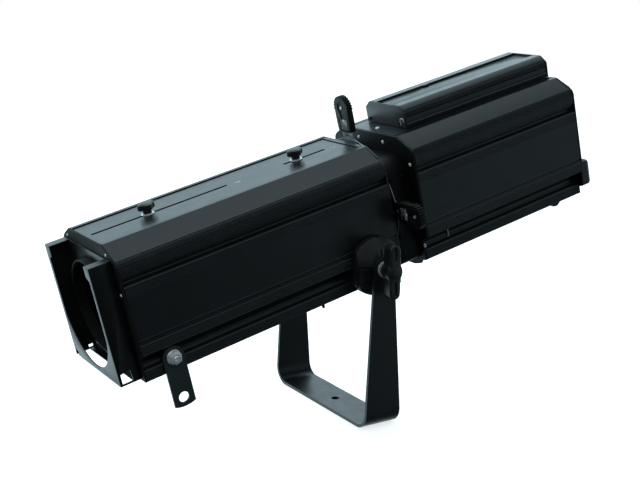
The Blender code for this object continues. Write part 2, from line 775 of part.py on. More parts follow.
def make_carriage(which, s, bulge):
    """A lens in its cell, and the clamp stud, washer and knob that stand above the top plate."""
    axis = empty(f"{which}_lens_axis", Matrix.Translation((s, 0, 0)), housing)
    pad_top = make_cell(which, axis)
    make_lens(which, axis, bulge)

    plate_top = TOP_H - RAIL_DEEP + SHEET
    stud_top = plate_top + CLAMP_STUD_UP
    stud = rod(f"{which}_lens_stud", CLAMP_STUD_R, pad_top - CLAMP_STUD_DOWN, stud_top, 12)
    place(stud, axis, (0, 0, 0))
    finish(stud, ZINC)

    inner = CLAMP_STUD_R + CLEAR
    low = plate_top + CLEAR
    high = low + CLAMP_WASHER_THICK
    profile = [(inner, high), (CLAMP_WASHER_R, high), (CLAMP_WASHER_R, low), (inner, low)]
    washer = turned(f"{which}_lens_washer", profile, 24)
    place(washer, axis, (0, 0, 0))
    finish(washer, ZINC)

    low = high + CLEAR
    outline = []
    for i in range(36):
        a = 2 * math.pi * i / 36
        radius = LOBED_R + LOBED_SWELL * math.cos(4 * a)
        outline.append((radius * math.cos(a), radius * math.sin(a)))
    knob = as_mesh(flat(f"{which}_lens_knob", [outline], LOBED_THICK))
    knob.data.transform(Matrix.Translation((0, 0, low + LOBED_NECK + LOBED_THICK / 2)))
    neck = rod(f"{which}_knob_neck", LOBED_NECK_R, low, low + LOBED_NECK + 0.002, 20)
    hole = rod(f"{which}_knob_bore", CLAMP_STUD_R + CLEAR, low - 0.002, stud_top + CLEAR, 12)
    for piece in (knob, neck, hole):
        place(piece, axis, (0, 0, 0))
    bpy.context.view_layer.update()
    cut(knob, neck, operation="UNION")
    cut(knob, hole)
    finish(knob, BLACK_PLASTIC)


# ---- Gate -----------------------------------------------------------------------------------------------
def gate_outline(shrink):
    half = GATE_HALF - shrink
    corner = GATE_CORNER - shrink * 0.5
    low_corner = GATE_LOW_CORNER - shrink * 0.5
    right = arc((half - low_corner, GATE_LOW + shrink + low_corner), low_corner, -90, 0, 4)
    right += arc((half - corner, GATE_TOP - shrink - corner), corner, 0, 90, 6)
    return both_sides(right)


def make_gate():
    long = FLANGE_S - CLEAR - GATE_FRONT
    middle = GATE_FRONT + long / 2
    gate = flat("gate_housing", [gate_outline(0), gate_outline(GATE_WALL)], long)
    place(gate, housing, (middle, 0, 0), ALONG_S)
    gate = as_mesh(gate)
    tools = []
    for which, plane in SHUTTER_PLANES.items():
        half = BLADE_HALF + 0.002
        opening = block(
            f"{which}_slot_cutter", (plane - 0.0015, -half, 0.04), (plane + 0.0015, half, GATE_HALF + 0.02)
        )
        place(opening, housing, (0, 0, AXIS_H), Matrix.Rotation(math.radians(SHUTTER_TURNS[which]), 4, "X"))
        tools.append(opening)
    bpy.context.view_layer.update()
    cut(gate, *tools)
    finish(gate, BLACK_PAINT)

    outline = gate_outline(GATE_WALL + CLEAR)
    aperture = flat("aperture_plate", [outline, circle((0, AXIS_H), APERTURE_R, 40)], SHEET)
    place(aperture, housing, (APERTURE_S, 0, 0), ALONG_S)
    finish(aperture, GREY_STEEL)


def make_shutter(which):
    """A steel blade with a moulded grip; its own frame looks outwards from the optical axis along Z."""
    turn = Matrix.Rotation(math.radians(SHUTTER_TURNS[which]), 4, "X")
    frame = Matrix.Translation((SHUTTER_PLANES[which], 0, AXIS_H)) @ turn
    frame = frame @ Matrix.Translation((0, 0, -SHUTTER_PUSHED[which]))
    axis = empty(f"shutter_{which}_axis", frame, housing)
    right = [(BLADE_HALF, BLADE_INNER), (BLADE_HALF, BLADE_SHOULDER[0]), (STEM_HALF, BLADE_SHOULDER[1])]
    right.append((STEM_HALF, STEM_END))
    blade = flat(f"shutter_blade_{which}", [both_sides(right)], BLADE_THICK)
    place(blade, axis, (0, 0, 0), ALONG_S)
    finish(blade, GREY_STEEL)

    low = HANDLE_FROM + 0.002
    narrow = HANDLE_HALF - 0.003
    right = [(narrow - 0.002, HANDLE_FROM), (narrow, low)]
    right += arc((0, HANDLE_TO - HANDLE_HALF), HANDLE_HALF, 0, 84, 9)
    handle = flat(f"shutter_handle_{which}", [both_sides(right)], HANDLE_THICK)
    place(handle, axis, (0, 0, 0), ALONG_S)
    handle = as_mesh(handle)
    thin = BLADE_THICK / 2 + CLEAR
    pocket = block(
        f"{which}_handle_pocket",
        (-thin, -STEM_HALF - CLEAR, HANDLE_FROM - 0.01),
        (thin, STEM_HALF + CLEAR, STEM_END + CLEAR),
    )
    place(pocket, axis, (0, 0, 0))
    bpy.context.view_layer.update()
    cut(handle, pocket)
    finish(handle, BLACK_PLASTIC)


# ---- Lamphouse ------------------------------------------------------------------------------------------
def make_lamphouse():
    start = FLANGE_S + FLANGE_THICK + CLEAR
    end = LAMP_REAR - SHEET - CLEAR
    make_sides("lamphouse", LAMP_TOP_HALF, LAMP_HALF, LAMP_SHOULDER, start, end)
    middle = (start + end) / 2
    long_half = (end - start) / 2
    plate_half = LAMP_TOP_HALF - RAIL_WIDE - WALL - CLEAR
    vents = []
    for i in range(6):
        at = 0.19 + 0.035 * i - middle
        vents.append(rectangle((at - 0.005, -0.034), (at + 0.005, 0.034)))
    plate = rectangle((-long_half, -plate_half), (long_half, plate_half))
    top = flat("lamphouse_top_plate", [plate] + vents, RAIL_DEEP)
    place(top, housing, (middle, 0, TOP_H - RAIL_DEEP / 2))
    finish(top, BLACK_PAINT)

    floor_half = FLOOR_HALF - CLEAR
    holes = [circle((GLAND_S - middle, GLAND_Y), GLAND_R + CLEAR, 20)]
    for i in range(5):
        at = 0.17 + 0.035 * i - middle
        holes.append(rectangle((at - 0.004, -0.045), (at + 0.004, 0.045)))
    plate = rectangle((-long_half, -floor_half), (long_half, floor_half))
    bottom = flat("lamphouse_bottom_plate", [plate] + holes, SHEET)
    place(bottom, housing, (middle, 0, BOTTOM_H + SHEET / 2))
    finish(bottom, BLACK_PAINT)

    lip = [(0.060, FLANGE_LIP_H), (0.076, FLANGE_LIP_H + 0.004), (0.082, BOTTOM_H)]
    outline = end_outline(LAMP_TOP_HALF, LAMP_HALF, LAMP_SHOULDER, BOTTOM_H)
    right = lip + outline[: len(outline) // 2]
    light_hole = circle((0, AXIS_H), LIGHT_HOLE_R, 48)
    flange = flat("lamphouse_flange", [both_sides(right), light_hole], FLANGE_THICK)
    place(flange, housing, (FLANGE_S + FLANGE_THICK / 2, 0, 0), ALONG_S)
    finish(flange, BLACK_PAINT)

    rear = flat("lamphouse_rear_plate", [outline, circle((0, AXIS_H), 0.034, 32)], SHEET)
    place(rear, housing, (LAMP_REAR - SHEET / 2, 0, 0), ALONG_S)
    finish(rear, BLACK_PAINT)


def make_cable_gland():
    above = BOTTOM_H + SHEET + 0.008
    seat = BOTTOM_H - CLEAR
    low = BOTTOM_H - 0.019
    gland = turned(
        "cable_gland",
        [
            (GLAND_BORE, above),
            (GLAND_R, above),
            (GLAND_R, seat),
            (GLAND_R + 0.0035, seat),
            (GLAND_R + 0.0035, low + 0.012),
            (GLAND_R + 0.0015, low + 0.003),
            (GLAND_R - 0.002, low),
            (GLAND_BORE, low),
        ],
        20,
    )
    place(gland, housing, (GLAND_S, GLAND_Y, 0))
    finish(gland, BLACK_PLASTIC)


def make_vent_cover():
    """A folded cover with sloped shoulders over the vents, two end caps, and a lid in its recessed top."""
    start = VENT_FRONT + SHEET + CLEAR
    end = VENT_REAR - SHEET - CLEAR
    low = TOP_H + CLEAR
    rail = VENT_LID_HALF
    side = [(VENT_HALF, low), (VENT_HALF, VENT_SHOULDER_H - 0.002), (VENT_HALF - 0.0015, VENT_SHOULDER_H + 0.001)]
    side += [(VENT_TOP_HALF + 0.001, VENT_H - 0.0006), (VENT_TOP_HALF - 0.0015, VENT_H), (rail, VENT_H)]
    right = side + [(rail, VENT_H - VENT_RECESS)]
    cover = folded("vent_cover", both_sides(right)[::-1], start, end, SHEET)
    place(cover, housing, (0, 0, 0))
    finish(cover, BLACK_PAINT)

    middle = (start + end) / 2
    half = rail - SHEET - 2 * CLEAR
    long_half = (end - start) / 2 - CLEAR
    lid = flat("vent_cover_lid", [rectangle((-long_half, -half), (long_half, half))], LID_THICK)
    place(lid, housing, (middle, 0, VENT_H - VENT_RECESS + CLEAR + LID_THICK / 2))
    finish(lid, GREY_STEEL)

    for which, at in (("front", VENT_FRONT + SHEET / 2), ("rear", VENT_REAR - SHEET / 2)):
        cap = flat(f"vent_cover_{which}_cap", [both_sides(side)], SHEET)
        place(cap, housing, (at, 0, 0), ALONG_S)
        finish(cap, BLACK_PAINT)


def make_rear_cap():
    """A shallow box over the lamp access hole: a wide low part and a narrower upper one, open in front."""
    low = LAMP_REAR + CLEAR
    high = LAMP_REAR + CAP_DEEP
    wide = LAMP_HALF - 0.004
    behind = low - 0.01
    cap = block("rear_cap", (behind, -wide, CAP_LOW), (high, wide, CAP_HIGH))
    bevelled(cap, 0.006, 2, 60)
    cap = as_mesh(cap)
    cover_end = high - 0.001
    cover = block("rear_cap_cover", (behind, -CAP_COVER_HALF, 0), (cover_end, CAP_COVER_HALF, CAP_COVER_TOP))
    bevelled(cover, 0.006, 2, 60)
    low_hollow = block(
        "rear_cap_hollow",
        (low - CAP_WALL, CAP_WALL - wide, CAP_LOW + CAP_WALL),
        (high - CAP_WALL, wide - CAP_WALL, CAP_HIGH - CAP_WALL),
    )
    high_hollow = block(
        "rear_cap_cover_hollow",
        (low - CAP_WALL, CAP_WALL - CAP_COVER_HALF, CAP_LOW + 2 * CAP_WALL),
        (cover_end - CAP_WALL, CAP_COVER_HALF - CAP_WALL, CAP_COVER_TOP - CAP_WALL),
    )
    trim = block("rear_cap_trim", (behind - 0.01, -2 * wide, -0.1), (low, 2 * wide, 0.2))
    for piece in (cap, cover, low_hollow, high_hollow, trim):
        place(piece, housing, (0, 0, 0))
    bpy.context.view_layer.update()
    cut(cap, cover, operation="UNION")
    cut(cap, low_hollow, high_hollow, trim)
    finish(cap, BLACK_PAINT)


# ---- Lamp and reflector ---------------------------------------------------------------------------------
def make_reflector():
    """A half ellipsoid that opens towards the gate, with a lamp hole in its back, and its bracket."""
    start = math.asin(REFLECTOR_HOLE / REFLECTOR_R)
    angles = [start + (math.pi / 2 - start) * i / 8 for i in range(9)]
    outer = [(REFLECTOR_R * math.sin(a), REFLECTOR_LONG * math.cos(a)) for a in angles]
    inner_r = REFLECTOR_R - REFLECTOR_THICK
    inner_long = REFLECTOR_LONG - REFLECTOR_THICK
    inner = [(inner_r * math.sin(a), inner_long * math.cos(a)) for a in reversed(angles)]
    rim_r = REFLECTOR_R + 0.006
    rim = [(rim_r, 0), (rim_r, -REFLECTOR_THICK), (inner_r, -REFLECTOR_THICK)]
    reflector = turned("reflector", outer + rim + inner, 32)
    place(reflector, housing, (REFLECTOR_FRONT, 0, AXIS_H), ALONG_S)
    finish(reflector, BRIGHT_ALUMINIUM)

    plate = rectangle((-0.0855, -0.020), (0.0855, 0.142))
    bracket = flat("reflector_bracket", [plate, circle((0, AXIS_H), REFLECTOR_R + CLEAR, 40)], SHEET)
    place(bracket, housing, (REFLECTOR_FRONT + CLEAR + SHEET / 2, 0, 0), ALONG_S)
    finish(bracket, GREY_STEEL)


def make_lamp():
    """A single-ended capsule lamp on the optical axis, its ceramic holder, and the tray that carries both."""
    neck = LAMP_TIP + LAMP_R
    quarter = [math.pi / 2 * i / 6 for i in range(5, 0, -1)]
    dome = [(LAMP_R * math.sin(a), neck - LAMP_R * math.cos(a)) for a in quarter]
    pinch = [(0, LAMP_BACK), (LAMP_PINCH_R, LAMP_BACK), (LAMP_PINCH_R, LAMP_BACK - 0.010)]
    lamp = turned("lamp", pinch + [(LAMP_R, LAMP_BACK - 0.014), (LAMP_R, neck)] + dome + [(0, LAMP_TIP)], 20)
    place(lamp, housing, (LAMP_S, 0, AXIS_H), ALONG_S)
    finish(lamp, GLASS)

    low = LAMP_BACK + CLEAR
    high = low + SOCKET_LONG
    profile = [(0, high), (SOCKET_R - 0.002, high), (SOCKET_R, high - 0.004), (SOCKET_R, low), (0, low)]
    holder = turned("lamp_holder", profile, 24)
    place(holder, housing, (LAMP_S, 0, AXIS_H), ALONG_S)
    finish(holder, CERAMIC)

    tail = LAMP_S + high + CLEAR
    arm_end = LAMP_REAR + CAP_DEEP - CAP_WALL - 0.0015
    tray = block(
        "lamp_tray", (tail, -TRAY_HALF, AXIS_H - 0.020), (tail + TRAY_SHEET, TRAY_HALF, AXIS_H + 0.020)
    )
    place(tray, housing, (0, 0, 0))
    arms = []
    for sign in (-1, 1):
        sides = sorted((sign * TRAY_HALF, sign * (TRAY_HALF - TRAY_SHEET)))
        low_corner = (tail + 0.001, sides[0], AXIS_H - 0.015)
        arms.append(block("lamp_tray_arm", low_corner, (arm_end, sides[1], AXIS_H + 0.015)))
        place(arms[-1], housing, (0, 0, 0))
    bpy.context.view_layer.update()
    cut(tray, *arms, operation="UNION")
    finish(tray, GREY_STEEL)


make_yoke()
make_tilt_clamp("near", -1)
make_tilt_clamp("far", 1)
make_barrel()
make_end_plates()
make_holder()
make_safety_lug()
make_guide_rods()
make_carriage("front", FRONT_LENS_S, 0.012)
make_carriage("rear", REAR_LENS_S, 0.018)
make_gate()
for shutter in SHUTTER_PLANES:
    make_shutter(shutter)
make_lamphouse()
make_cable_gland()
make_vent_cover()
make_rear_cap()
make_reflector()
make_lamp()

for made in parts.objects:
    if made.type == "MESH":
        smooth(made)
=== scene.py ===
"""The visual model of an ellipsoidal profile spotlight on its yoke.

Housing pieces are drawn in the housing's own frame: s runs backwards along the optical axis, y across, h up
from the tilt axis. The yoke, its drums and its clamp knobs are drawn in the row frame.
"""
import json
import math

import bmesh
import bpy
from mathutils import Matrix, Vector


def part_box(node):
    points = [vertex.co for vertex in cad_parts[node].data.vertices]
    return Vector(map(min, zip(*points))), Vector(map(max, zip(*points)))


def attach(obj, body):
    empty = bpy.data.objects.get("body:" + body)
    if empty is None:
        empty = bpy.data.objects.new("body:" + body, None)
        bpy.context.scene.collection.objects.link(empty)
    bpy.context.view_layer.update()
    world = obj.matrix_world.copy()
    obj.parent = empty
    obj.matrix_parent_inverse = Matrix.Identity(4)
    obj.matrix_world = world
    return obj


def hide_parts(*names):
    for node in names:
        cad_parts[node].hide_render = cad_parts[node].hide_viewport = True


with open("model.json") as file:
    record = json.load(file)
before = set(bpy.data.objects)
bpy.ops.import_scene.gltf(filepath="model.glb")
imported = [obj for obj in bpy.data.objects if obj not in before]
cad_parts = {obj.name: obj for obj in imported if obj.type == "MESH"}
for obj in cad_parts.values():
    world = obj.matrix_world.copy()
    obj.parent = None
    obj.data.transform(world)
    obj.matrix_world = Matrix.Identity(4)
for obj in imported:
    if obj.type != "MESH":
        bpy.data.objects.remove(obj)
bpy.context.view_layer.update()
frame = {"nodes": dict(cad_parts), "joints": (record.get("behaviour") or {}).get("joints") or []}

NODES = frame["nodes"]
JOINTS = {joint["name"]: joint for joint in frame["joints"]}

PIVOT = Vector(JOINTS["housing_tilt"]["pos_m"])
BACKWARDS = Vector(JOINTS["front_lens_slide"]["axis"])
TILT = math.atan2(BACKWARDS.z, BACKWARDS.x)
HOUSING = Matrix.Translation(PIVOT) @ Matrix.Rotation(-TILT, 4, "Y")
TO_HOUSING = HOUSING.inverted()
ROW = Matrix.Identity(4)


def span(node, matrix=TO_HOUSING):
    """(lowest corner, highest corner) of a CAD node in the housing's frame."""
    points = [matrix @ v.co for v in NODES[node].data.vertices]
    low = Vector([min(p[i] for p in points) for i in range(3)])
    high = Vector([max(p[i] for p in points) for i in range(3)])
    return low, high


AXIS_H = sum(corner.z for corner in span("front_lens")) / 2


# ---- Outlines ----
def arc(centre, radius, start, end, steps):
    angles = [math.radians(start + (end - start) * i / steps) for i in range(steps + 1)]
    return [(centre[0] + radius * math.cos(a), centre[1] + radius * math.sin(a)) for a in angles]


def circle(centre, radius, steps=48):
    return arc(centre, radius, 0, 360, steps)[:-1]


def rectangle(low, high):
    return [(low[0], low[1]), (high[0], low[1]), (high[0], high[1]), (low[0], high[1])]


def rounded(low, high, radius, steps=5):
    """A rectangle with round corners."""
    (x0, y0), (x1, y1) = low, high
    r = radius
    return (
        arc((x1 - r, y0 + r), r, -90, 0, steps)
        + arc((x1 - r, y1 - r), r, 0, 90, steps)
        + arc((x0 + r, y1 - r), r, 90, 180, steps)
        + arc((x0 + r, y0 + r), r, 180, 270, steps)
    )


def both_sides(half):
    """A closed outline from its right half, given from bottom to top."""
    return half + [(-x, y) for x, y in reversed(half)]


RIB_PITCH = 0.00245
RIB_DEEP = 0.0007


def ribs(points, pitch, depth):
    """Fine grooves along a line of points; the solid lies to the right of the way they run."""
    out = []
    for (x0, y0), (x1, y1) in zip(points, points[1:]):
        long = math.hypot(x1 - x0, y1 - y0)
        count = max(1, round(long / pitch))
        ux, uy = (x1 - x0) / long, (y1 - y0) / long
        step = long / count
        for i in range(count):
            for share, sink in ((0.0, 0), (0.42, 0), (0.72, depth)):
                t = (i + share) * step
                out.append((x0 + ux * t + uy * sink, y0 + uy * t - ux * sink))
    return out + [points[-1]]


# ---- Meshes ----
# Local X, Y, Z of a flat outline or a turned shape laid along (y, h, s), (s, h, -y) or (s, y, h)
ALONG_S = Matrix(((0, 0, 1, 0), (1, 0, 0, 0), (0, 1, 0, 0), (0, 0, 0, 1)))
ALONG_Y = Matrix(((1, 0, 0, 0), (0, 0, -1, 0), (0, 1, 0, 0), (0, 0, 0, 1)))
TURN_OUT = ALONG_Y @ Matrix.Rotation(math.pi, 4, "X")


def at(x, y, z, axes=ROW):
    return Matrix.Translation((x, y, z)) @ axes


def linked(name, data):
    """A new object in the scene that holds the data."""
    made = bpy.data.objects.new(name, data)
    bpy.context.scene.collection.objects.link(made)
    return made


def finished(shape):
    bmesh.ops.remove_doubles(shape, verts=shape.verts, dist=1e-7)
    bmesh.ops.recalc_face_normals(shape, faces=shape.faces)
    mesh = bpy.data.meshes.new("shape")
    shape.to_mesh(mesh)
    shape.free()
    return mesh


def moved(mesh, matrix):
    mesh.transform(matrix)
    return mesh


def plate(outlines, thickness, matrix=ROW, edge=0.0004, steps=1):
    """A plate, the first outline filled and the others cut out, with its edges rounded by edge."""
    curve = bpy.data.curves.new("outline", "CURVE")
    curve.dimensions = "2D"
    curve.fill_mode = "BOTH"
    curve.extrude = thickness / 2 - edge
    curve.bevel_depth = edge
    curve.bevel_resolution = steps
    curve.offset = -edge
    for outline in outlines:
        spline = curve.splines.new("POLY")
        spline.points.add(len(outline) - 1)
        spline.use_cyclic_u = True
        for point, (x, y) in zip(spline.points, outline):
            point.co = (x, y, 0, 1)
    holder = linked("outline", curve)
    bpy.context.view_layer.update()
    mesh = bpy.data.meshes.new_from_object(holder.evaluated_get(bpy.context.evaluated_depsgraph_get()))
    bpy.data.objects.remove(holder)
    shape = bmesh.new()
    shape.from_mesh(mesh)
    return moved(finished(shape), matrix)


def extrusion(outline, start, end, matrix=ALONG_S):
    """A closed outline drawn out from start to end along its own Z."""
    shape = bmesh.new()
    first = [shape.verts.new((x, y, start)) for x, y in outline]
    last = [shape.verts.new((x, y, end)) for x, y in outline]
    for i in range(len(outline)):
        j = (i + 1) % len(outline)
        shape.faces.new((first[i], first[j], last[j], last[i]))
    shape.faces.new(first)
    shape.faces.new(last)
    return moved(finished(shape), matrix)


def turned(profile, matrix=ROW, steps=40, lobes=None):
    """A shape turned about its own Z from (radius, z). lobes(i, angle) scales ring i's radius."""
    shape = bmesh.new()
    rings = []
    for i, (radius, z) in enumerate(profile):
        if radius < 1e-6:
            rings.append([shape.verts.new((0, 0, z))])
            continue
        ring = []
        for k in range(steps):
            a = 2 * math.pi * k / steps
            r = radius * (lobes(i, a) if lobes else 1)
            ring.append(shape.verts.new((r * math.cos(a), r * math.sin(a), z)))
        rings.append(ring)
    for low, high in zip(rings, rings[1:]):
        for k in range(steps):
            n = (k + 1) % steps
            corners = [low[k % len(low)], low[n % len(low)], high[n % len(high)], high[k % len(high)]]
            unique = list(dict.fromkeys(corners))
            if len(unique) > 2:
                shape.faces.new(unique)
    return moved(finished(shape), matrix)


def rod(radius, first, last, matrix=ROW, steps=32):
    """A plain cylinder about its own Z from first to last."""
    return turned([(0, first), (radius, first), (radius, last), (0, last)], matrix, steps)


def ring(profile, matrix=ROW, steps=40):
    """A turned ring: the profile is a closed loop that stays off the axis."""
    return turned(profile + [profile[0]], matrix, steps)


def block(low, high, edge=0.0004, steps=1):
    shape = bmesh.new()
    size = Vector(high) - Vector(low)
    middle = (Vector(high) + Vector(low)) / 2
    place = Matrix.Translation(middle) @ Matrix.Diagonal((*size, 1.0))
    bmesh.ops.create_cube(shape, size=1.0, matrix=place)
    if edge:
        bmesh.ops.bevel(
            shape, geom=list(shape.edges), offset=edge, segments=steps, profile=0.5, affect="EDGES"
        )
    return finished(shape)


def joined(*meshes):
    shape = bmesh.new()
    for mesh in meshes:
        shape.from_mesh(mesh)
    made = bpy.data.meshes.new("shape")
    shape.to_mesh(made)
    shape.free()
    return made


def cut(mesh, *tools):
    """The mesh with the tools cut out of it."""
    base = linked("base", mesh)
    helpers = []
    for tool in tools:
        helper = linked("tool", tool)
        boolean = base.modifiers.new("cut", "BOOLEAN")
        boolean.operation = "DIFFERENCE"
        boolean.object = helper
        helpers.append(helper)
    bpy.context.view_layer.update()
    made = bpy.data.meshes.new_from_object(base.evaluated_get(bpy.context.evaluated_depsgraph_get()))
    for helper in helpers + [base]:
        bpy.data.objects.remove(helper)
    return made


# ---- Materials ----
def add_node(tree, kind, values=()):
    """A new shader node, with values on its sockets."""
    made = tree.nodes.new(f"ShaderNode{kind}")
    set_sockets(made, values)
    return made


def set_sockets(node, values):
    for socket, value in dict(values).items():
        node.inputs[socket].default_value = value


def noise_of(tree, scale, detail=4.0, stretch=(1, 1, 1), rough=0.55):
    where = add_node(tree, "TexCoord")
    mapping = add_node(tree, "Mapping", {"Scale": stretch})
    noise = add_node(tree, "TexNoise", {"Scale": scale, "Detail": detail, "Roughness": rough})
    tree.links.new(where.outputs["Object"], mapping.inputs["Vector"])
    tree.links.new(mapping.outputs["Vector"], noise.inputs["Vector"])
    return noise.outputs["Fac"]


def cells_of(tree, scale):
    cells = add_node(tree, "TexVoronoi", {"Scale": scale})
    where = add_node(tree, "TexCoord")
    tree.links.new(where.outputs["Object"], cells.inputs["Vector"])
    return cells.outputs["Distance"]


def ramp_of(tree, fac, low, high, from_at=0.3, to_at=0.7):
    ramp = add_node(tree, "ValToRGB")
    for stop, where, colour in zip(ramp.color_ramp.elements, (from_at, to_at), (low, high)):
        stop.position = where
        stop.color = (*colour, 1)
    tree.links.new(fac, ramp.inputs["Fac"])
    return ramp.outputs["Color"]


def spread_of(tree, fac, low, high):
    spread = add_node(tree, "MapRange", {"From Min": 0.25, "From Max": 0.75, "To Min": low, "To Max": high})
    tree.links.new(fac, spread.inputs["Value"])
    return spread.outputs["Result"]


def bump_of(tree, height, strength, distance, before=None):
    bump = add_node(tree, "Bump", {"Strength": strength, "Distance": distance})
    tree.links.new(height, bump.inputs["Height"])
    if before:
        tree.links.new(before, bump.inputs["Normal"])
    return bump.outputs["Normal"]


def material(name, parts, values=()):
    """A new material. parts(tree) gives the outputs for its base colour, roughness and, if any, normal."""
    made = bpy.data.materials.new(name)
    made.use_nodes = True
    tree = made.node_tree
    shader = tree.nodes["Principled BSDF"]
    set_sockets(shader, values)
    for socket, output in zip(("Base Color", "Roughness", "Normal"), parts(tree)):
        tree.links.new(output, shader.inputs[socket])
    return made


def paint(name, dark, light, roughness, grain=0.1, streak=0.0, shine=0.5):
    """Stoved paint: a slow drift of tone, a fine orange peel and, with streak, lines along the part."""

    def parts(tree):
        yield ramp_of(tree, noise_of(tree, 18, 5), dark, light)
        yield spread_of(tree, noise_of(tree, 55, 6), *roughness)
        normal = bump_of(tree, noise_of(tree, 1500, 3), grain, 0.0002)
        if streak:
            normal = bump_of(tree, noise_of(tree, 900, 2, (0.012, 1, 1)), streak, 0.0002, normal)
        yield normal

    return material(name, parts, {"Specular IOR Level": shine})


def plastic(name, dark, light, roughness, grain=0.25, shine=0.5):
    """Moulded plastic: a spark-eroded grain and a slight bloom."""

    def parts(tree):
        yield ramp_of(tree, noise_of(tree, 60, 5), dark, light)
        yield spread_of(tree, noise_of(tree, 140, 4), *roughness)
        pits = bump_of(tree, cells_of(tree, 1400), grain, 0.00012)
        yield bump_of(tree, noise_of(tree, 420, 3), grain, 0.0002, pits)

    return material(name, parts, {"Specular IOR Level": shine})


def metal(name, dark, light, roughness, stretch=(1, 1, 1), grain=0.12, bare=1.0):
    """Bare or plated metal, with scratches drawn out along the axis whose stretch is smallest."""

    def parts(tree):
        yield ramp_of(tree, noise_of(tree, 90, 6), dark, light)
        yield spread_of(tree, noise_of(tree, 260, 5, stretch), *roughness)
        yield bump_of(tree, noise_of(tree, 1100, 2, stretch), grain, 0.0001)

    return material(name, parts, {"Metallic": bare})


def glass(name, roughness):
    def parts(tree):
        yield ramp_of(tree, noise_of(tree, 12, 2), (0.86, 0.93, 0.91), (0.9, 0.95, 0.94))
        yield spread_of(tree, noise_of(tree, 70, 6), *roughness)

    return material(name, parts, {"Transmission Weight": 1.0, "IOR": 1.52})


def mirror(name):
    """Bright anodised aluminium with a hammered surface."""

    def parts(tree):
        yield ramp_of(tree, noise_of(tree, 30, 3), (0.74, 0.75, 0.76), (0.86, 0.86, 0.86))
        yield spread_of(tree, noise_of(tree, 90, 3), 0.1, 0.2)
        yield bump_of(tree, cells_of(tree, 130), 0.4, 0.001)

    return material(name, parts, {"Metallic": 1.0})


def printed(name, colour, ink):
    """A blank printed field, with its ink drifting between two tones."""

    def parts(tree):
        yield ramp_of(tree, noise_of(tree, 240, 6), ink, colour, 0.25, 0.5)
        yield spread_of(tree, noise_of(tree, 300, 3), 0.3, 0.45)
        yield bump_of(tree, noise_of(tree, 900, 3), 0.1, 0.0001)

    return material(name, parts)


EXTRUDED = paint("extruded_black_paint", (0.005, 0.0058, 0.0066), (0.0085, 0.0095, 0.0108), (0.3, 0.42),
                 streak=0.22)
SHEET_PAINT = paint("sheet_black_paint", (0.005, 0.0056, 0.0062), (0.0085, 0.0093, 0.0102), (0.28, 0.4),
                    grain=0.12)
# A lighter copy of the black paint, only for the plates, rims and lid that face up: painted sheen of the
# overhead softbox.
LIT_TOP_PAINT = paint("top_plate_paint_painted_sheen", (0.008, 0.0095, 0.011), (0.012, 0.014, 0.016), (0.26, 0.34),
                  streak=0.1)
YOKE_PAINT = paint("yoke_black_paint", (0.005, 0.0056, 0.0064), (0.009, 0.01, 0.0115), (0.3, 0.44),
                   grain=0.16)
MATT_BLACK = paint("matt_black_inside", (0.002, 0.002, 0.0022), (0.0045, 0.0045, 0.0048), (0.6, 0.78),
                   grain=0.2, shine=0.25)
# A darker copy of the black paint with little shine, for the gate, the flange and small screws and louvres:
# painted shade of the recess between barrel and lamphouse.
SHADED_BLACK_PAINT = paint("shaded_black_paint", (0.0022, 0.0022, 0.0024), (0.0046, 0.0046, 0.005), (0.42, 0.56),
                   grain=0.14, shine=0.18)
LUG_PAINT = paint("lug_black_paint", (0.02, 0.029, 0.031), (0.031, 0.043, 0.045), (0.34, 0.48),
                  grain=0.14)
PLASTIC = plastic("black_plastic", (0.006, 0.0066, 0.007), (0.013, 0.014, 0.0146), (0.3, 0.44))
GRIP_PLASTIC = plastic("grip_plastic", (0.005, 0.0052, 0.0056), (0.01, 0.0104, 0.011), (0.4, 0.54),
                       shine=0.24)
DRUM_PLASTIC = plastic("drum_plastic", (0.006, 0.0068, 0.0072), (0.011, 0.0125, 0.013), (0.34, 0.46),
                       grain=0.15)
NYLON = plastic("nylon_insert", (0.55, 0.58, 0.6), (0.68, 0.7, 0.72), (0.35, 0.5), grain=0.1)
CERAMIC = plastic("ceramic", (0.62, 0.6, 0.54), (0.76, 0.74, 0.68), (0.5, 0.7), grain=0.3)
ZINC = metal("zinc_plate", (0.78, 0.82, 0.84), (0.94, 0.96, 0.96), (0.24, 0.38), bare=0.45)
BRIGHT = metal("bright_rivet", (0.8, 0.84, 0.86), (0.94, 0.95, 0.95), (0.18, 0.3), grain=0.1, bare=0.3)
STEEL = metal("grey_steel", (0.2, 0.22, 0.23), (0.34, 0.36, 0.37), (0.28, 0.42), (1, 1, 0.05))
ROD_STEEL = metal("ground_rod_steel", (0.42, 0.43, 0.44), (0.58, 0.58, 0.58), (0.16, 0.26), (0.05, 1, 1))
LENS_GLASS = glass("lens_glass", (0.01, 0.03))
LAMP_GLASS = glass("lamp_glass", (0.02, 0.06))
MIRROR = mirror("hammered_mirror")
LABEL = printed("blank_label", (0.9, 0.93, 0.94), (0.72, 0.77, 0.79))
MARK = printed("index_mark", (0.7, 0.74, 0.75), (0.5, 0.54, 0.55))


# ---- Pieces ----
def piece(name, mesh, look, nodes=(), matrix=HOUSING, angle=32, body="housing"):
    """Adds a shape as a piece of the object that moves with a body and may stand for CAD nodes."""
    mesh.name = name
    mesh.materials.clear()
    mesh.materials.append(look)
    mesh.polygons.foreach_set("material_index", [0] * len(mesh.polygons))
    mesh.shade_smooth()
    mesh.set_sharp_from_angle(angle=math.radians(angle))
    made = linked(name, mesh)
    made.matrix_world = matrix
    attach(made, body)
    if nodes:
        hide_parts(*nodes)
    return made


def soften(made, width, angle):
    """Puts a small round on an object's sharp edges."""
    bevel = made.modifiers.new("edges", "BEVEL")
    bevel.width = width
    bevel.segments = 2
    bevel.limit_method = "ANGLE"
    bevel.angle_limit = math.radians(angle)


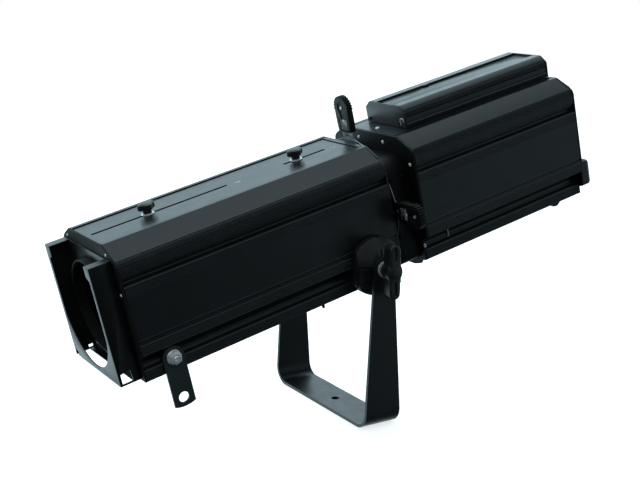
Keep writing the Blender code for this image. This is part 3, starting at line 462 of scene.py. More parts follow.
def keep(look, *nodes, width=0.0004):
    """Gives CAD nodes their material, and a small round on their edges."""
    for node in nodes:
        kept = NODES[node]
        kept.data.materials.clear()
        kept.data.materials.append(look)
        if width:
            soften(kept, width, 40)


HEAD_FOOT = -0.0006


def screw_head(centre, axes, radius=0.003, height=0.0016):
    """A domed head with a cross slot, standing on a surface; local Z points out of it."""
    dome = [(0, height), (radius * 0.45, height * 0.93), (radius * 0.8, height * 0.62), (radius, 0.0001)]
    head = turned(dome + [(radius, HEAD_FOOT), (0, HEAD_FOOT)], ROW, 20)
    slot = radius * 0.62
    width = radius * 0.13
    bottom, clear = height * 0.4, height * 2
    tools = [
        block((-slot, -width, bottom), (slot, width, clear), 0),
        block((-width, -slot, bottom), (width, slot, clear), 0),
    ]
    return moved(cut(head, *tools), Matrix.Translation(centre) @ axes)


def rivet(centre, axes, radius=0.003, height=0.0016):
    """A domed rivet head standing on a surface; local Z points out of it."""
    angles = [math.pi / 2 * i / 5 for i in range(6)]
    dome = [(radius * math.sin(a), height * math.cos(a)) for a in angles]
    return turned(dome + [(radius, HEAD_FOOT), (0, HEAD_FOOT)], Matrix.Translation(centre) @ axes, 16)


FACES_FRONT = ALONG_S @ Matrix.Rotation(math.pi, 4, "X")
FACES_BACK = ALONG_S
FACES_NEAR = ALONG_Y
FACES_UP = ROW
FACES_DOWN = Matrix.Rotation(math.pi, 4, "X")


# ---- Ribbed side profiles ----
RAIL_TOP = 0.16
RAIL_WIDE = 0.008
FOOT_HALF = 0.0915
FOOT_LOW = -0.033
FOOT_WIDE = 0.014
WALL = 0.0034


def side_profile(rail, ribbed, out):
    """The closed section of the far side wall, from the top rail to the foot and back inside."""
    outer = [(rail - RAIL_WIDE, 0.1563), (rail - RAIL_WIDE, 0.1596), (rail - 0.0076, RAIL_TOP)]
    outer += [(rail - 0.0006, RAIL_TOP), (rail, 0.1597), (rail + 0.0006, 0.1592)]
    outer += ribs(ribbed, RIB_PITCH, RIB_DEEP)
    # the undercut below the shoulder, the ribbed band, and the plain panel
    outer += [(out - 0.0092, 0.1138), (out - 0.0095, 0.112), (out - 0.0085, 0.1102), (out - 0.0045, 0.1088)]
    outer += [(out - 0.0014, 0.108), (out, 0.1062)]
    outer += ribs([(out, 0.105), (out, 0.093)], RIB_PITCH, RIB_DEEP)
    outer += [(out - 0.0005, 0.0926), (out - 0.0005, 0.0304), (out, 0.03)]
    # the groove under the panel and the lower ribbed band
    outer += [(out - 0.0018, 0.0292), (out - 0.0018, 0.027), (out - 0.0006, 0.0262), (out - 0.0006, 0.0234)]
    outer += [(out - 0.0014, 0.023), (out, 0.0212)]
    outer += ribs([(out, 0.0206), (out, 0.0085)], RIB_PITCH, RIB_DEEP)
    # the recess and the foot rail
    outer += [(out - 0.0008, 0.007), (out - 0.005, 0.0056), (out - 0.0085, 0.004), (0.088, 0.001)]
    outer += [(0.0845, -0.003), (0.0828, -0.0072), (0.0832, -0.0105), (0.0852, -0.0135), (0.0885, -0.0152)]
    outer += [(0.0901, -0.016), (FOOT_HALF, -0.018)]
    outer += ribs([(FOOT_HALF, -0.0186), (FOOT_HALF, -0.03)], RIB_PITCH, RIB_DEEP)
    outer += [(FOOT_HALF, -0.0316), (FOOT_HALF - 0.0005, -0.0326), (FOOT_HALF - 0.0014, FOOT_LOW)]
    outer += [(FOOT_HALF - FOOT_WIDE, FOOT_LOW)]
    inner = [(FOOT_HALF - FOOT_WIDE, -0.0305), (0.0885, -0.0305), (0.0885, -0.0178), (0.085, -0.0164)]
    inner += [(0.0812, -0.013), (0.0803, -0.006), (0.0828, 0.0), (0.0865, 0.005), (0.089, 0.0085)]
    inner += [(out - WALL, 0.01), (out - WALL, 0.1043), (out - 0.012, 0.1078), (out - 0.012, 0.115)]
    inner += [(out - 0.0095, 0.1182), (out - 0.006, 0.124), (out - 0.0055, 0.129), (out - 0.011, 0.136)]
    inner += [(rail - 0.001, 0.156), (rail - 0.0055, 0.1562), (rail - 0.0055, 0.1563)]
    return outer + inner


def make_side_profiles():
    barrel_ribs = [(0.0905, 0.1425), (0.095, 0.139), (0.098, 0.1345), (0.0996, 0.1295), (0.1, 0.125)]
    barrel_ribs += [(0.099, 0.1212), (0.0966, 0.1176), (0.0932, 0.1152)]
    lamp_ribs = [(0.0992, 0.1445), (0.1018, 0.1415), (0.1036, 0.1375), (0.1045, 0.1325), (0.1043, 0.127)]
    lamp_ribs += [(0.1034, 0.1216), (0.1011, 0.1178), (0.0977, 0.1152)]
    for prefix, rail, ribbed, out in (
        ("barrel", 0.06, barrel_ribs, 0.1),
        ("lamphouse", 0.07, lamp_ribs, 0.1045),
    ):
        far = side_profile(rail, ribbed, out)
        near = [(-y, h) for y, h in far]
        for side, outline in (("far", far), ("near", near)):
            node = f"{prefix}_side_{side}"
            low, high = span(node)
            piece(f"{node}_profile", extrusion(outline, low.x, high.x), EXTRUDED, [node], angle=24)


# ---- Vent cover ----
VENT_HALF = 0.052
VENT_SHOULDER = 0.185
VENT_CREASE = 0.0395
VENT_LID_HALF = 0.0235
VENT_LID_DEEP = 0.0046
VENT_WALL = 0.0014
LATCH_S = 0.2303


def vent_section(foot, top):
    """The closed section of the cover's far half, from its foot over the shoulder to the lid and back."""
    half = VENT_HALF
    lid = VENT_LID_HALF
    side = [(half - 0.0032, foot), (half - 0.0032, foot + 0.0034), (half, foot + 0.005)]
    side += [(half, foot + 0.0062), (half - 0.0014, foot + 0.0082)]
    side += [(half - 0.0008, foot + 0.0094), (half - 0.002, foot + 0.0164)]
    shoulder = [(VENT_CREASE + 0.0072, VENT_SHOULDER + 0.004), (half - 0.0009, VENT_SHOULDER - 0.0006)]
    grooves = ribs(shoulder + [(half - 0.0006, 0.1784)], 0.0024, RIB_DEEP)
    crease = [(VENT_CREASE, top - 0.0005), (VENT_CREASE - 0.001, top - 0.0002), (lid, top - 0.0002)]
    inner = [(lid, top - VENT_LID_DEEP), (lid + VENT_WALL, top - VENT_LID_DEEP)]
    inner += [(lid + VENT_WALL, top - 0.0016), (VENT_CREASE - VENT_WALL, top - 0.0016)]
    inner += [(half - 0.004, VENT_SHOULDER - 0.002), (half - 0.0046, foot)]
    return side + list(reversed(grooves)) + crease + inner


def make_vent_cover():
    """The ribbed cover with sloped shoulders, and the flat rims beside its lid in the lighter paint of a
    painted sheen.
    """
    low, high = span("vent_cover")
    top = high.z
    right = vent_section(low.z, top)
    left = [(-y, h) for y, h in right]
    section = joined(extrusion(right, low.x, high.x), extrusion(left, low.x, high.x))
    piece("vent_cover_profile", section, EXTRUDED, ["vent_cover"], angle=24)
    rims = []
    for side in (-1, 1):
        inside, outside = sorted((side * (VENT_LID_HALF + 0.0001), side * (VENT_CREASE - 0.0012)))
        rims.append(block((low.x, inside, top - 0.001), (high.x, outside, top), 0.0001))
    piece("vent_cover_rims", joined(*rims), LIT_TOP_PAINT)


def make_vent_lid():
    """The recessed lid with a notch for its latch, and its screw."""
    low, high = span("vent_cover_lid")
    top = span("vent_cover")[1].z
    half = VENT_LID_HALF - 0.0006
    notch = 0.0055
    outline = [(low.x, -half), (high.x, -half), (high.x, half), (LATCH_S + notch, half)]
    outline += [(LATCH_S + notch, half - 0.004), (LATCH_S - notch, half - 0.004)]
    outline += [(LATCH_S - notch, half), (low.x, half)]
    thick = high.z - low.z
    lid = plate([outline], thick, at(0, 0, low.z + thick / 2))
    # The lid in the lighter top paint: a painted sheen.
    piece("vent_cover_lid_plate", lid, LIT_TOP_PAINT, ["vent_cover_lid"])
    start, end = LATCH_S - 0.0048, LATCH_S + 0.0048
    latch = block((start, half - 0.0034, top - 0.0024), (end, half + 0.002, top - 0.0002), 0.0003)
    piece("vent_cover_lid_latch", latch, SHADED_BLACK_PAINT)
    screw = screw_head((0.1925, -0.0187, high.z), FACES_UP, 0.0024, 0.001)
    piece("vent_cover_lid_screw", screw, SHADED_BLACK_PAINT)


def make_vent_caps():
    """The two end caps of the vent cover, the front one with its clip and screws."""
    low, high = span("vent_cover")
    top = high.z
    half = VENT_HALF
    right = [(half, low.z), (half, VENT_SHOULDER - 0.0015), (half - 0.0008, VENT_SHOULDER + 0.0004)]
    right += [(VENT_CREASE + 0.001, top - 0.0008), (VENT_CREASE - 0.001, top)]
    for node in ("vent_cover_front_cap", "vent_cover_rear_cap"):
        cap_low, cap_high = span(node)
        middle = (cap_low.x + cap_high.x) / 2
        cap = plate([both_sides(right)], cap_high.x - cap_low.x, at(middle, 0, 0, ALONG_S), 0.0008, 2)
        piece(f"{node}_plate", cap, SHEET_PAINT, [node])
    front = span("vent_cover_front_cap")[0].x
    inside, outside, leg = 0.0034, 0.0046, -0.0065
    turns = [math.radians(205 - 26 * i) for i in range(9)]
    hook = [(inside * math.cos(a), inside * math.sin(a)) for a in turns] + [(inside, leg)]
    hook += [(outside, leg)] + [(outside * math.cos(a), outside * math.sin(a)) for a in reversed(turns)]
    clip = plate([hook], 0.0016, at(front - 0.0008, -0.043, 0.172, ALONG_S), 0.0002)
    piece("vent_cover_clip", clip, ZINC)
    studs = [screw_head((front, y, 0.1668), FACES_FRONT, 0.0026, 0.0014) for y in (-0.033, 0.043)]
    piece("vent_cover_cap_screws", joined(*studs), SHADED_BLACK_PAINT)


# ---- Yoke ----
STRAP_THICK = 0.005
STRAP_BEND = 0.026


def strap_line(outer_y, top_half):
    """Points (y, z) along the strap's outer face, from the top of the near leg to that of the far one."""
    ends = [math.radians(90 * i / 12) for i in range(12, -1, -1)]
    near = [(-outer_y, PIVOT.z + top_half * math.sin(a)) for a in ends]
    near[0] = (-outer_y, PIVOT.z + top_half * 0.9995)
    near += [(-outer_y, PIVOT.z - (PIVOT.z - STRAP_BEND) * i / 6) for i in range(1, 6)]
    near += arc((-outer_y + STRAP_BEND, STRAP_BEND), STRAP_BEND, 180, 270, 16)
    return near + [(-y, z) for y, z in reversed(near)]


def strap_mesh(line, half_width):
    """A flat strap bent along a line of its outer face, half_width(z) wide to each side."""
    shape = bmesh.new()
    outer, inner = [], []
    for i, (y, z) in enumerate(line):
        before = line[max(i - 1, 0)]
        after = line[min(i + 1, len(line) - 1)]
        dy, dz = after[0] - before[0], after[1] - before[1]
        long = math.hypot(dy, dz)
        in_y, in_z = -dz / long * STRAP_THICK, dy / long * STRAP_THICK
        half = half_width(z)
        outer.append([shape.verts.new((x, y, z)) for x in (-half, half)])
        inner.append([shape.verts.new((x, y + in_y, z + in_z)) for x in (-half, half)])
    for i in range(len(line) - 1):
        shape.faces.new((outer[i][0], outer[i][1], outer[i + 1][1], outer[i + 1][0]))
        shape.faces.new((inner[i][1], inner[i][0], inner[i + 1][0], inner[i + 1][1]))
        shape.faces.new((outer[i][0], outer[i + 1][0], inner[i + 1][0], inner[i][0]))
        shape.faces.new((outer[i][1], inner[i][1], inner[i + 1][1], outer[i + 1][1]))
    for end in (0, -1):
        shape.faces.new((outer[end][0], inner[end][0], inner[end][1], outer[end][1]))
    return finished(shape)


def make_yoke():
    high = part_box("yoke")[1]
    base_half = high.x
    top_half = high.z - PIVOT.z

    def half_width(z):
        if z > PIVOT.z:
            return math.sqrt(max(top_half**2 - (z - PIVOT.z) ** 2, 0))
        share = min(max((z - STRAP_BEND) / (PIVOT.z - STRAP_BEND), 0), 1)
        return base_half + (top_half - base_half) * share

    strap = strap_mesh(strap_line(high.y, top_half), half_width)
    hole = rod(0.0065, 0.02, -0.02)
    pivots = rod(0.0055, 0.2, -0.2, at(0, 0, PIVOT.z, ALONG_Y))
    made = piece("yoke_strap", cut(strap, hole, pivots), YOKE_PAINT, ["yoke"], ROW, body="yoke")
    soften(made, 0.0009, 50)


# ---- Tilt clamps ----
STUD_BORE = 0.0056
DRUM_HUB = 0.0165
DRUM_RIM_DEEP = 0.011


def drum_rim(radius, half):
    """A disc with flat sides and a row of fine teeth under it."""
    corner = math.degrees(math.acos(half / radius))
    teeth = 22
    right = []
    for i in range(teeth):
        a = math.radians(-89 + i * (89 - corner) / teeth)
        r = radius if i % 2 else radius - 0.001
        right.append((r * math.cos(a), r * math.sin(a)))
    right += [(half, -radius * math.sin(math.radians(corner)))]
    right += arc((0, 0), radius, corner, 90 - 2.2, 18)
    right += [(0.0016, radius - 0.0035)]
    return both_sides(right)


def drum_dome(radius, half, floor, hub, top):
    """The cone over a drum's upper half, with a groove up its middle, from its rim to its hub."""
    profile = [(hub - 0.004, floor), (radius, floor), (radius, floor + 0.0006)]
    profile += [(radius - 0.003, floor + 0.0026), (hub + 0.005, top - 0.003), (hub, top)]
    profile += [(hub - 0.004, top), (hub - 0.004, floor)]
    big = 2 * radius
    below, above = floor - 0.01, top + 0.01
    tools = [
        block((-big, -big, below), (big, 0.0035, above), 0),
        block((half, -big, below), (big, big, above), 0),
        block((-big, -big, below), (-half, big, above), 0),
        block((-0.0013, hub, floor + 0.008), (0.0013, big, above), 0),
    ]
    return cut(turned(profile, ROW, 72), *tools)


def drum_block(half, floor, hub, top):
    """The clamp block over a drum's lower half, with its grooves and the round clearance for the hub."""
    body = block((-half, -0.0275, floor), (half, 0.002, top), 0.001, 2)
    deep, wide, past = 0.0012, 0.0009, 0.001
    grooves = (-0.0055, -0.0205)
    tools = [block((-half - past, z, top - deep), (half + past, z + wide, top + past), 0) for z in grooves]
    for edge in (-half, half):
        ends = (edge - deep, edge + deep)
        tools += [block((ends[0], z, floor - past), (ends[1], z + wide, top + past), 0) for z in grooves]
    return cut(body, *tools, rod(hub, floor - past, top + past, steps=40))


def wing_outline(long, thick, hub):
    """The bar of a clamp knob: two wings that swell into a hub."""
    half = long / 2
    tip = thick / 2
    steps = 60
    right = []
    for i in range(steps + 1):
        z = -half + long * i / steps
        far = abs(z) / half
        width = tip * (1.0 + 0.1 * math.sin(far * math.pi))
        if abs(z) < hub:
            width = max(width, math.sqrt(hub**2 - z**2) * 0.86)
        if half - abs(z) < tip:
            width = min(width, math.sqrt(max(tip**2 - (tip - half + abs(z)) ** 2, 0)) + 0.0004)
        right.append((width, z))
    return both_sides(right)


def make_tilt_drum(side, axes):
    """A drum on the yoke's leg: toothed rim, cone, clamp block and the hub's boss."""
    node = f"tilt_drum_{side}"
    low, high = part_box(node)
    inner, outer = sorted((abs(low.y), abs(high.y)))
    half = high.x
    radius = high.z - PIVOT.z
    floor = inner + 0.0104
    rim_outlines = [drum_rim(radius, half), circle((0, 0), STUD_BORE, 24)]
    rim = plate(rim_outlines, DRUM_RIM_DEEP, at(0, 0, inner + STUD_BORE), 0.0008, 2)
    dome = drum_dome(radius - 0.001, half - 0.0004, floor, DRUM_HUB, outer - 0.0002)
    jaw = drum_block(half - 0.0006, floor, DRUM_HUB + 0.0012, outer - 0.004)
    boss_r = DRUM_HUB - 0.0006
    boss = [(STUD_BORE, floor), (boss_r, floor), (boss_r, outer - 0.001), (DRUM_HUB - 0.0014, outer - 0.0001)]
    drum = joined(rim, dome, jaw, ring(boss + [(STUD_BORE, outer - 0.0001)]))
    piece(f"{node}_disc", moved(drum, axes), DRUM_PLASTIC, [node], ROW, body="yoke")


def make_tilt_knob(side, axes):
    """A clamp knob: its bar with two scooped flutes, the neck behind it and the cap over its hub."""
    node = f"tilt_knob_{side}"
    low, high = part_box(node)
    inner, outer = sorted((abs(low.y), abs(high.y)))
    long = high.z - low.z
    neck_top = inner + 0.0062
    deep = outer - 0.0016 - neck_top
    outline = wing_outline(long - 0.0004, 0.017, 0.015)
    bar = plate([outline], deep, axes @ at(0, 0, neck_top + deep / 2), 0.0022, 4)
    flute = 0.0105 + 0.015
    for end in (-1, 1):
        scoop = turned([(0, -0.004), (0.003, -0.0028), (0.0042, 0), (0.003, 0.0028), (0, 0.004)], ROW, 20)
        scoop.transform(Matrix.Diagonal((0.8, 3.4, 0.72, 1)))
        scoop.transform(axes @ at(0.0, end * flute, outer - 0.0012))
        bar = cut(bar, scoop)
    seat = inner + 0.0001
    neck = [(STUD_BORE, seat), (0.01, seat), (0.0106, inner + 0.001), (0.0112, neck_top + 0.004)]
    neck += [(STUD_BORE, neck_top + 0.004)]
    cap = [(0, outer), (0.006, outer - 0.0001), (0.0092, outer - 0.0008), (0.01, outer - 0.0022)]
    cap += [(0.01, outer - 0.005), (0, outer - 0.005)]
    wing = joined(bar, ring(neck, axes, 36), turned(cap, axes, 36))
    piece(f"{node}_wing", wing, PLASTIC, [node], ROW, body=node)


def make_tilt_clamps():
    for side, facing in (("near", ALONG_Y), ("far", TURN_OUT)):
        axes = at(PIVOT.x, 0, PIVOT.z, facing)
        make_tilt_drum(side, axes)
        make_tilt_knob(side, axes)
        keep(ZINC, f"tilt_washer_{side}", f"tilt_stud_{side}")


# ---- Lens clamp knobs ----
def knob_lobes(i, angle):
    """Four soft lobes round a lens knob: none on its neck, full on its rim, half on its crown."""
    strength = 0.0 if i < 4 else 0.12 if i < 11 else 0.06
    return 1 + strength * math.cos(4 * angle)


def make_lens_clamps():
    for which in ("front", "rear"):
        low, high = span(f"{which}_lens_knob")
        s = (low.x + high.x) / 2
        tall = high.z - low.z
        profile = [(0.0028, 0), (0.0062, 0), (0.0064, 0.0006), (0.006, 0.004), (0.0064, 0.0056)]
        profile += [(0.0085, 0.0062), (0.0108, 0.0058), (0.0114, 0.0066)]
        profile += [(0.0116, tall - 0.004), (0.011, tall - 0.0018)]
        profile += [(0.009, tall - 0.0005), (0.0045, tall), (0.0, tall)]
        knob = turned(profile, at(s, 0, low.z), 64, knob_lobes)
        node = f"{which}_lens_knob"
        piece(f"{node}_cap", knob, PLASTIC, [node], body=node)

        low, high = span(f"{which}_lens_washer")
        r = (high.x - low.x) / 2
        bore = 0.003
        washer = [(bore, high.z), (r - 0.0008, high.z), (r, high.z - 0.0005), (r, low.z), (bore, low.z)]
        carriage = f"{which}_lens_carriage"
        node = f"{which}_lens_washer"
        piece(f"{node}_ring", ring(washer, at(s, 0, 0)), BRIGHT, [node], body=carriage)
        keep(ZINC, f"{which}_lens_stud")
        keep(MATT_BLACK, carriage, f"{which}_lens_ring")
        keep(LENS_GLASS, f"{which}_lens", width=0)
        NODES[f"{which}_lens"].data.shade_smooth()
        NODES[f"{which}_lens"].data.set_sharp_from_angle(angle=math.radians(40))


def make_index_marks():
    """A short pale tick and a triangle beside the end of each slot."""
    top = span("barrel_top_plate")[1].z
    marks = []
    for s, y in ((-0.137, -0.003), (0.029, -0.004)):
        marks.append(block((s - 0.0055, y - 0.0006, top - 0.0002), (s + 0.0055, y + 0.0006, top + 0.0001), 0))
        triangle = [(s - 0.003, y - 0.003), (s + 0.003, y - 0.003), (s, y - 0.0008)]
        marks.append(plate([triangle], 0.0003, at(0, 0, top), 0))
    piece("index_marks", joined(*marks), MARK)


# ---- Shutters ----
def toothed_grip(half, low, high):
    """The outline of a grip: straight below, with teeth round its end."""
    centre = high - half
    root = half - 0.0019
    right = [(half - 0.0052, low), (half - 0.003, low + 0.002), (half - 0.0018, low + 0.012)]
    right += [(half - 0.0018, centre - 0.006)]
    teeth, start, sweep = 7, -8, 98
    for i in range(teeth):
        for share, r in ((0.05, root), (0.3, half), (0.62, half), (0.86, root)):
            a = math.radians(start + i * sweep / teeth + share * sweep / teeth)
            right.append((r * math.cos(a), centre + r * math.sin(a)))
    return both_sides(right)


def teardrop(centre, radius, tail):
    """The outline of the hollow in a grip's face, round above and running to a point below."""
    return arc((0, centre), radius, -30, 210, 18) + [(0, centre - tail)]


TURNS = {"top": 0, "near": 90, "bottom": 180, "far": 270}


def make_grip(which, back, place, body):
    """A shutter's grip with its hollow, its blank label and its eyelet."""
    node = f"shutter_handle_{which}"
    low, high = span(node, back)
    middle = (low.y + high.y) / 2
    half = (high.y - low.y) / 2
    thick = high.x - low.x
    local = place @ at((low.x + high.x) / 2, middle, 0, ALONG_S)
    front = -thick / 2
    eye = high.z - half + 0.001
    foot = low.z
    outlines = [toothed_grip(half, foot, high.z), circle((0, eye), 0.0026, 20)]
    grip = plate(outlines, thick - 0.0002, ROW, 0.0006, 2)
    drop = plate([teardrop(eye, 0.0088, 0.025)], 0.003, at(0, 0, front), 0.0004)
    field = rounded((-0.01, foot + 0.0035), (0.01, foot + 0.02), 0.0012)
    pit = plate([field], 0.002, at(0, 0, front), 0)
    blade_slot = block((-0.0142, foot - 0.01, -0.0012), (0.0142, foot + 0.0162, 0.0012), 0)
    piece(f"{body}_grip", cut(grip, drop, pit, blade_slot), GRIP_PLASTIC, [node], local, 28, body)
    sticker = rounded((-0.0094, foot + 0.0041), (0.0094, foot + 0.0194), 0.001)
    label = plate([sticker], 0.0006, at(0, 0, front + 0.0013), 0.0001)
    piece(f"{body}_label", label, LABEL, (), local, body=body)
    bottom, rim = front + 0.0002, front + 0.003
    eyelet = [(0.0008, bottom), (0.0022, bottom), (0.0024, rim), (0.0008, rim)]
    piece(f"{body}_eyelet", ring(eyelet, at(0, eye, 0), 20), ZINC, (), local, body=body)
    return middle


def make_shutters():
    for which, turn in TURNS.items():
        body = f"shutter_{which}"
        place = HOUSING @ Matrix.Translation((0, 0, AXIS_H)) @ Matrix.Rotation(math.radians(turn), 4, "X")
        back = place.inverted()
        middle = make_grip(which, back, place, body)
        node = f"shutter_blade_{which}"
        low, high = span(node, back)
        plane = sum(v.x for v in span(f"shutter_handle_{which}", back)) / 2
        wide = high.y - middle
        end = high.z
        right = [(wide - 0.004, low.z), (wide, low.z + 0.004), (wide, end - 0.0375)]
        right += [(wide - 0.003, end - 0.0345), (0.0165, end - 0.0275), (0.0137, end - 0.0255)]
        right += [(0.0137, end - 0.002), (0.0125, end)]
        hole = circle((0, end - 0.023), 0.0022, 16)
        local = place @ at(plane, middle, 0, ALONG_S)
        blade = plate([both_sides(right), hole], high.x - low.x, local, 0.0003)
        piece(f"{body}_steel", blade, STEEL, [node], ROW, body=body)


# ---- Gate, flange and end plates ----
GATE_WALL = 0.003


def gate_outline(low, high, shrink):
    """The gate's section, drawn in by shrink: wide round corners above and small ones below."""
    corner, low_corner = 0.03 - shrink / 2, 0.01 - shrink / 2
    edge = high.y - shrink
    right = arc((edge - low_corner, low.z + shrink + low_corner), low_corner, -90, 0, 8)
    right += arc((edge - corner, high.z - shrink - corner), corner, 0, 90, 16)
    return both_sides(right)


def make_gate():
    """The gate's shell with a slot for each blade, its screws and the seams down its sides, all in the darker
    paint of painted shade.
    """
    low, high = span("gate_housing")
    half = high.y
    outlines = [gate_outline(low, high, 0), gate_outline(low, high, GATE_WALL)]
    shell = plate(outlines, high.x - low.x, at((low.x + high.x) / 2, 0, 0, ALONG_S), 0.0007, 2)
    tools = []
    for which, turn in TURNS.items():
        place = at(0, 0, AXIS_H, Matrix.Rotation(math.radians(turn), 4, "X"))
        plane = sum(v.x for v in span(f"shutter_blade_{which}", (HOUSING @ place).inverted())) / 2
        tools.append(moved(block((plane - 0.0015, -0.048, 0.04), (plane + 0.0015, 0.048, 0.112), 0), place))
    piece("gate_shell", cut(shell, *tools), SHADED_BLACK_PAINT, ["gate_housing"])
    heads = []
    for side, axes in ((-1, FACES_NEAR), (1, TURN_OUT)):
        for s, h in ((0.06, -0.018), (0.09, -0.018), (0.087, 0.105), (0.058, 0.105)):
            heads.append(screw_head((s, side * half, h), axes, 0.0028, 0.0015))
    piece("gate_screws", joined(*heads), SHADED_BLACK_PAINT)
    strips = []
    for side in (-1, 1):
        for s in (0.0545, 0.0945):
            inner, outer = sorted((side * (half - 0.0005), side * (half + 0.0016)))
            strips.append(block((s - 0.0014, inner, -0.022), (s + 0.0014, outer, 0.104), 0.0005, 2))
    piece("gate_seams", joined(*strips), SHADED_BLACK_PAINT)
    keep(STEEL, "aperture_plate")


def make_flange_and_plates():
    """The lamphouse flange in the darker paint of painted shade with its rivets, and the paint of the sheet
    plates, the top ones in the lighter paint of a painted sheen.
    """
    front = span("lamphouse_flange")[0].x
    points = [(0.032, 0.148), (0.094, 0.121), (0.096, -0.007), (0.09, 0.037)]
    rivets = [rivet((front, side * y, h), FACES_FRONT) for y, h in points for side in (-1, 1)]
    piece("flange_rivets", joined(*rivets), BRIGHT)
    keep(SHADED_BLACK_PAINT, "lamphouse_flange", width=0.0006)
    for house in ("lamphouse", "barrel"):
        keep(SHEET_PAINT, f"{house}_bottom_plate", f"{house}_rear_plate")
    keep(MATT_BLACK, "barrel_front_plate", width=0.0005)
    keep(LIT_TOP_PAINT, "barrel_top_plate", "lamphouse_top_plate")


def make_plate_screws():
    """The bright screws on top and in front, and the zinc ones behind and below."""
    bright = [screw_head((0.117, 0.004, span("lamphouse_top_plate")[1].z), FACES_UP, 0.0036, 0.0018)]
    front = span("barrel_side_near")[0].x - 0.0023
    for y, h, radius, height in ((0.088, 0.095, 0.0024, 0.0014), (0.07, 0.148, 0.0022, 0.0012)):
        bright += [screw_head((front, side * y, h), FACES_FRONT, radius, height) for side in (-1, 1)]
    piece("housing_screws", joined(*bright), BRIGHT)

    rear = span("lamphouse_rear_plate")[1].x
    behind = ((0.092, 0.125), (0.092, 0.035), (0.055, 0.15))
    dark = [screw_head((rear, side * y, h), FACES_BACK) for side in (-1, 1) for y, h in behind]
    for node, places in (
        ("barrel_bottom_plate", (-0.35, -0.0855, 0.03)),
        ("lamphouse_bottom_plate", (0.125, 0.26, 0.395)),
    ):
        below = span(node)[0].z
        dark += [screw_head((s, side * 0.068, below), FACES_DOWN) for s in places for side in (-1, 1)]
    piece("plate_screws", joined(*dark), ZINC)
    tip = [(0, 0), (0.0022, 0), (0.0022, -0.0062), (0.001, -0.0074), (0, -0.0074)]
    piece("foot_screw_tip", turned(tip, at(-0.0855, -0.0845, below), 14), SHADED_BLACK_PAINT)


# ---- Colour frame holder ----
HOLDER_SHEET = 0.0018
HOLDER_BORE = 0.0694
HOLDER_TAB = 0.065
HOLDER_LEG = 0.0745
OPENING_H = 0.0555
OPENING_RADIUS = 0.0765


def holder_front(low, high):
    """The front plate's outline: a wide round opening between two legs, open above."""
    half = high.y
    foot, top = low.z, high.z
    dip = math.degrees(math.acos(HOLDER_LEG / OPENING_RADIUS))
    outline = [(-HOLDER_TAB, top), (-half, top), (-half, foot + 0.004), (0.004 - half, foot)]
    outline += [(half - 0.02, foot), (half - 0.0115, foot + 0.008), (half, foot + 0.01), (half, top)]
    outline += [(HOLDER_TAB, top), (HOLDER_TAB, top - 0.015), (HOLDER_LEG, top - 0.02)]
    outline += arc((0, OPENING_H), OPENING_RADIUS, -dip, -180 + dip, 44)
    return outline + [(-HOLDER_LEG, top - 0.02), (-HOLDER_TAB, top - 0.015)]


def make_holder():
    """The folded sheet that holds a colour frame: back, front, floor, two walls and the tabs over them."""
    low, high = span("colour_frame_holder")
    sheet = HOLDER_SHEET
    half = high.y
    inset = 0.0001
    back = [rectangle((-half, low.z), (half, high.z)), circle((0, AXIS_H), HOLDER_BORE, 72)]
    meshes = [
        plate(back, sheet, at(high.x - 0.001, 0, 0, ALONG_S), 0.0003),
        plate([holder_front(low, high)], sheet, at(low.x + sheet / 2, 0, 0, ALONG_S)),
        block((high.x - 0.0115, inset - half, low.z), (high.x - inset, half - inset, low.z + sheet), 0.0003),
    ]
    sill = low.z + 0.0028
    near_window = [(low.x + 0.004, sill), (high.x - 0.012, sill), (high.x - 0.013, low.z + 0.019)]
    near_window += [(low.x + 0.004, low.z + 0.017)]
    far_window = rectangle((low.x + 0.02, sill), (high.x - 0.005, low.z + 0.007))
    wall = rectangle((low.x + inset, low.z), (high.x - inset, high.z))
    for side, window in ((-1, near_window), (1, far_window)):
        meshes.append(plate([wall, window], sheet, at(0, side * (half - sheet / 2), 0, ALONG_Y), 0.0003))
        inner, outer = sorted((side * HOLDER_TAB, side * (half - inset)))
        meshes.append(block((low.x + inset, inner, high.z - sheet), (high.x - inset, outer, high.z - inset)))
    meshes.append(block((low.x + 0.0005, 0.069, low.z + 0.0002), (low.x + 0.0065, 0.073, low.z + 0.003)))
    piece("colour_frame_holder_sheet", joined(*meshes), SHEET_PAINT, ["colour_frame_holder"])


# ---- Safety lug ----
NUT_BORE = 0.0054
THREAD_PITCH = 0.0012


def make_lock_nut(place, seat, end):
    """The lug's flanged hexagon nut and the nylon ring in its end."""
    low_edge = seat + 0.0001
    flange = [(NUT_BORE, seat + 0.0022), (0.0098, seat + 0.002), (0.0107, seat + 0.0008)]
    flange = ring(flange + [(0.0107, low_edge), (NUT_BORE, low_edge)], place, 48)
    tall = end - seat - 0.0034
    turn = Matrix.Rotation(0.35, 4, "Z")
    outlines = [circle((0, 0), 0.0096, 6), circle((0, 0), NUT_BORE, 32)]
    hexagon = plate(outlines, tall, place @ at(0, 0, seat + 0.001 + tall / 2, turn), 0.0008, 2)
    piece("safety_lug_nut_body", joined(flange, hexagon), ZINC, ["safety_lug_nut"])
    collar = [(NUT_BORE, end - 0.0001), (0.0064, end), (0.0076, end - 0.001), (0.0078, end - 0.003)]
    collar = ring(collar + [(NUT_BORE, end - 0.003)], place, 36)
    piece("safety_lug_nut_insert", collar, NYLON)


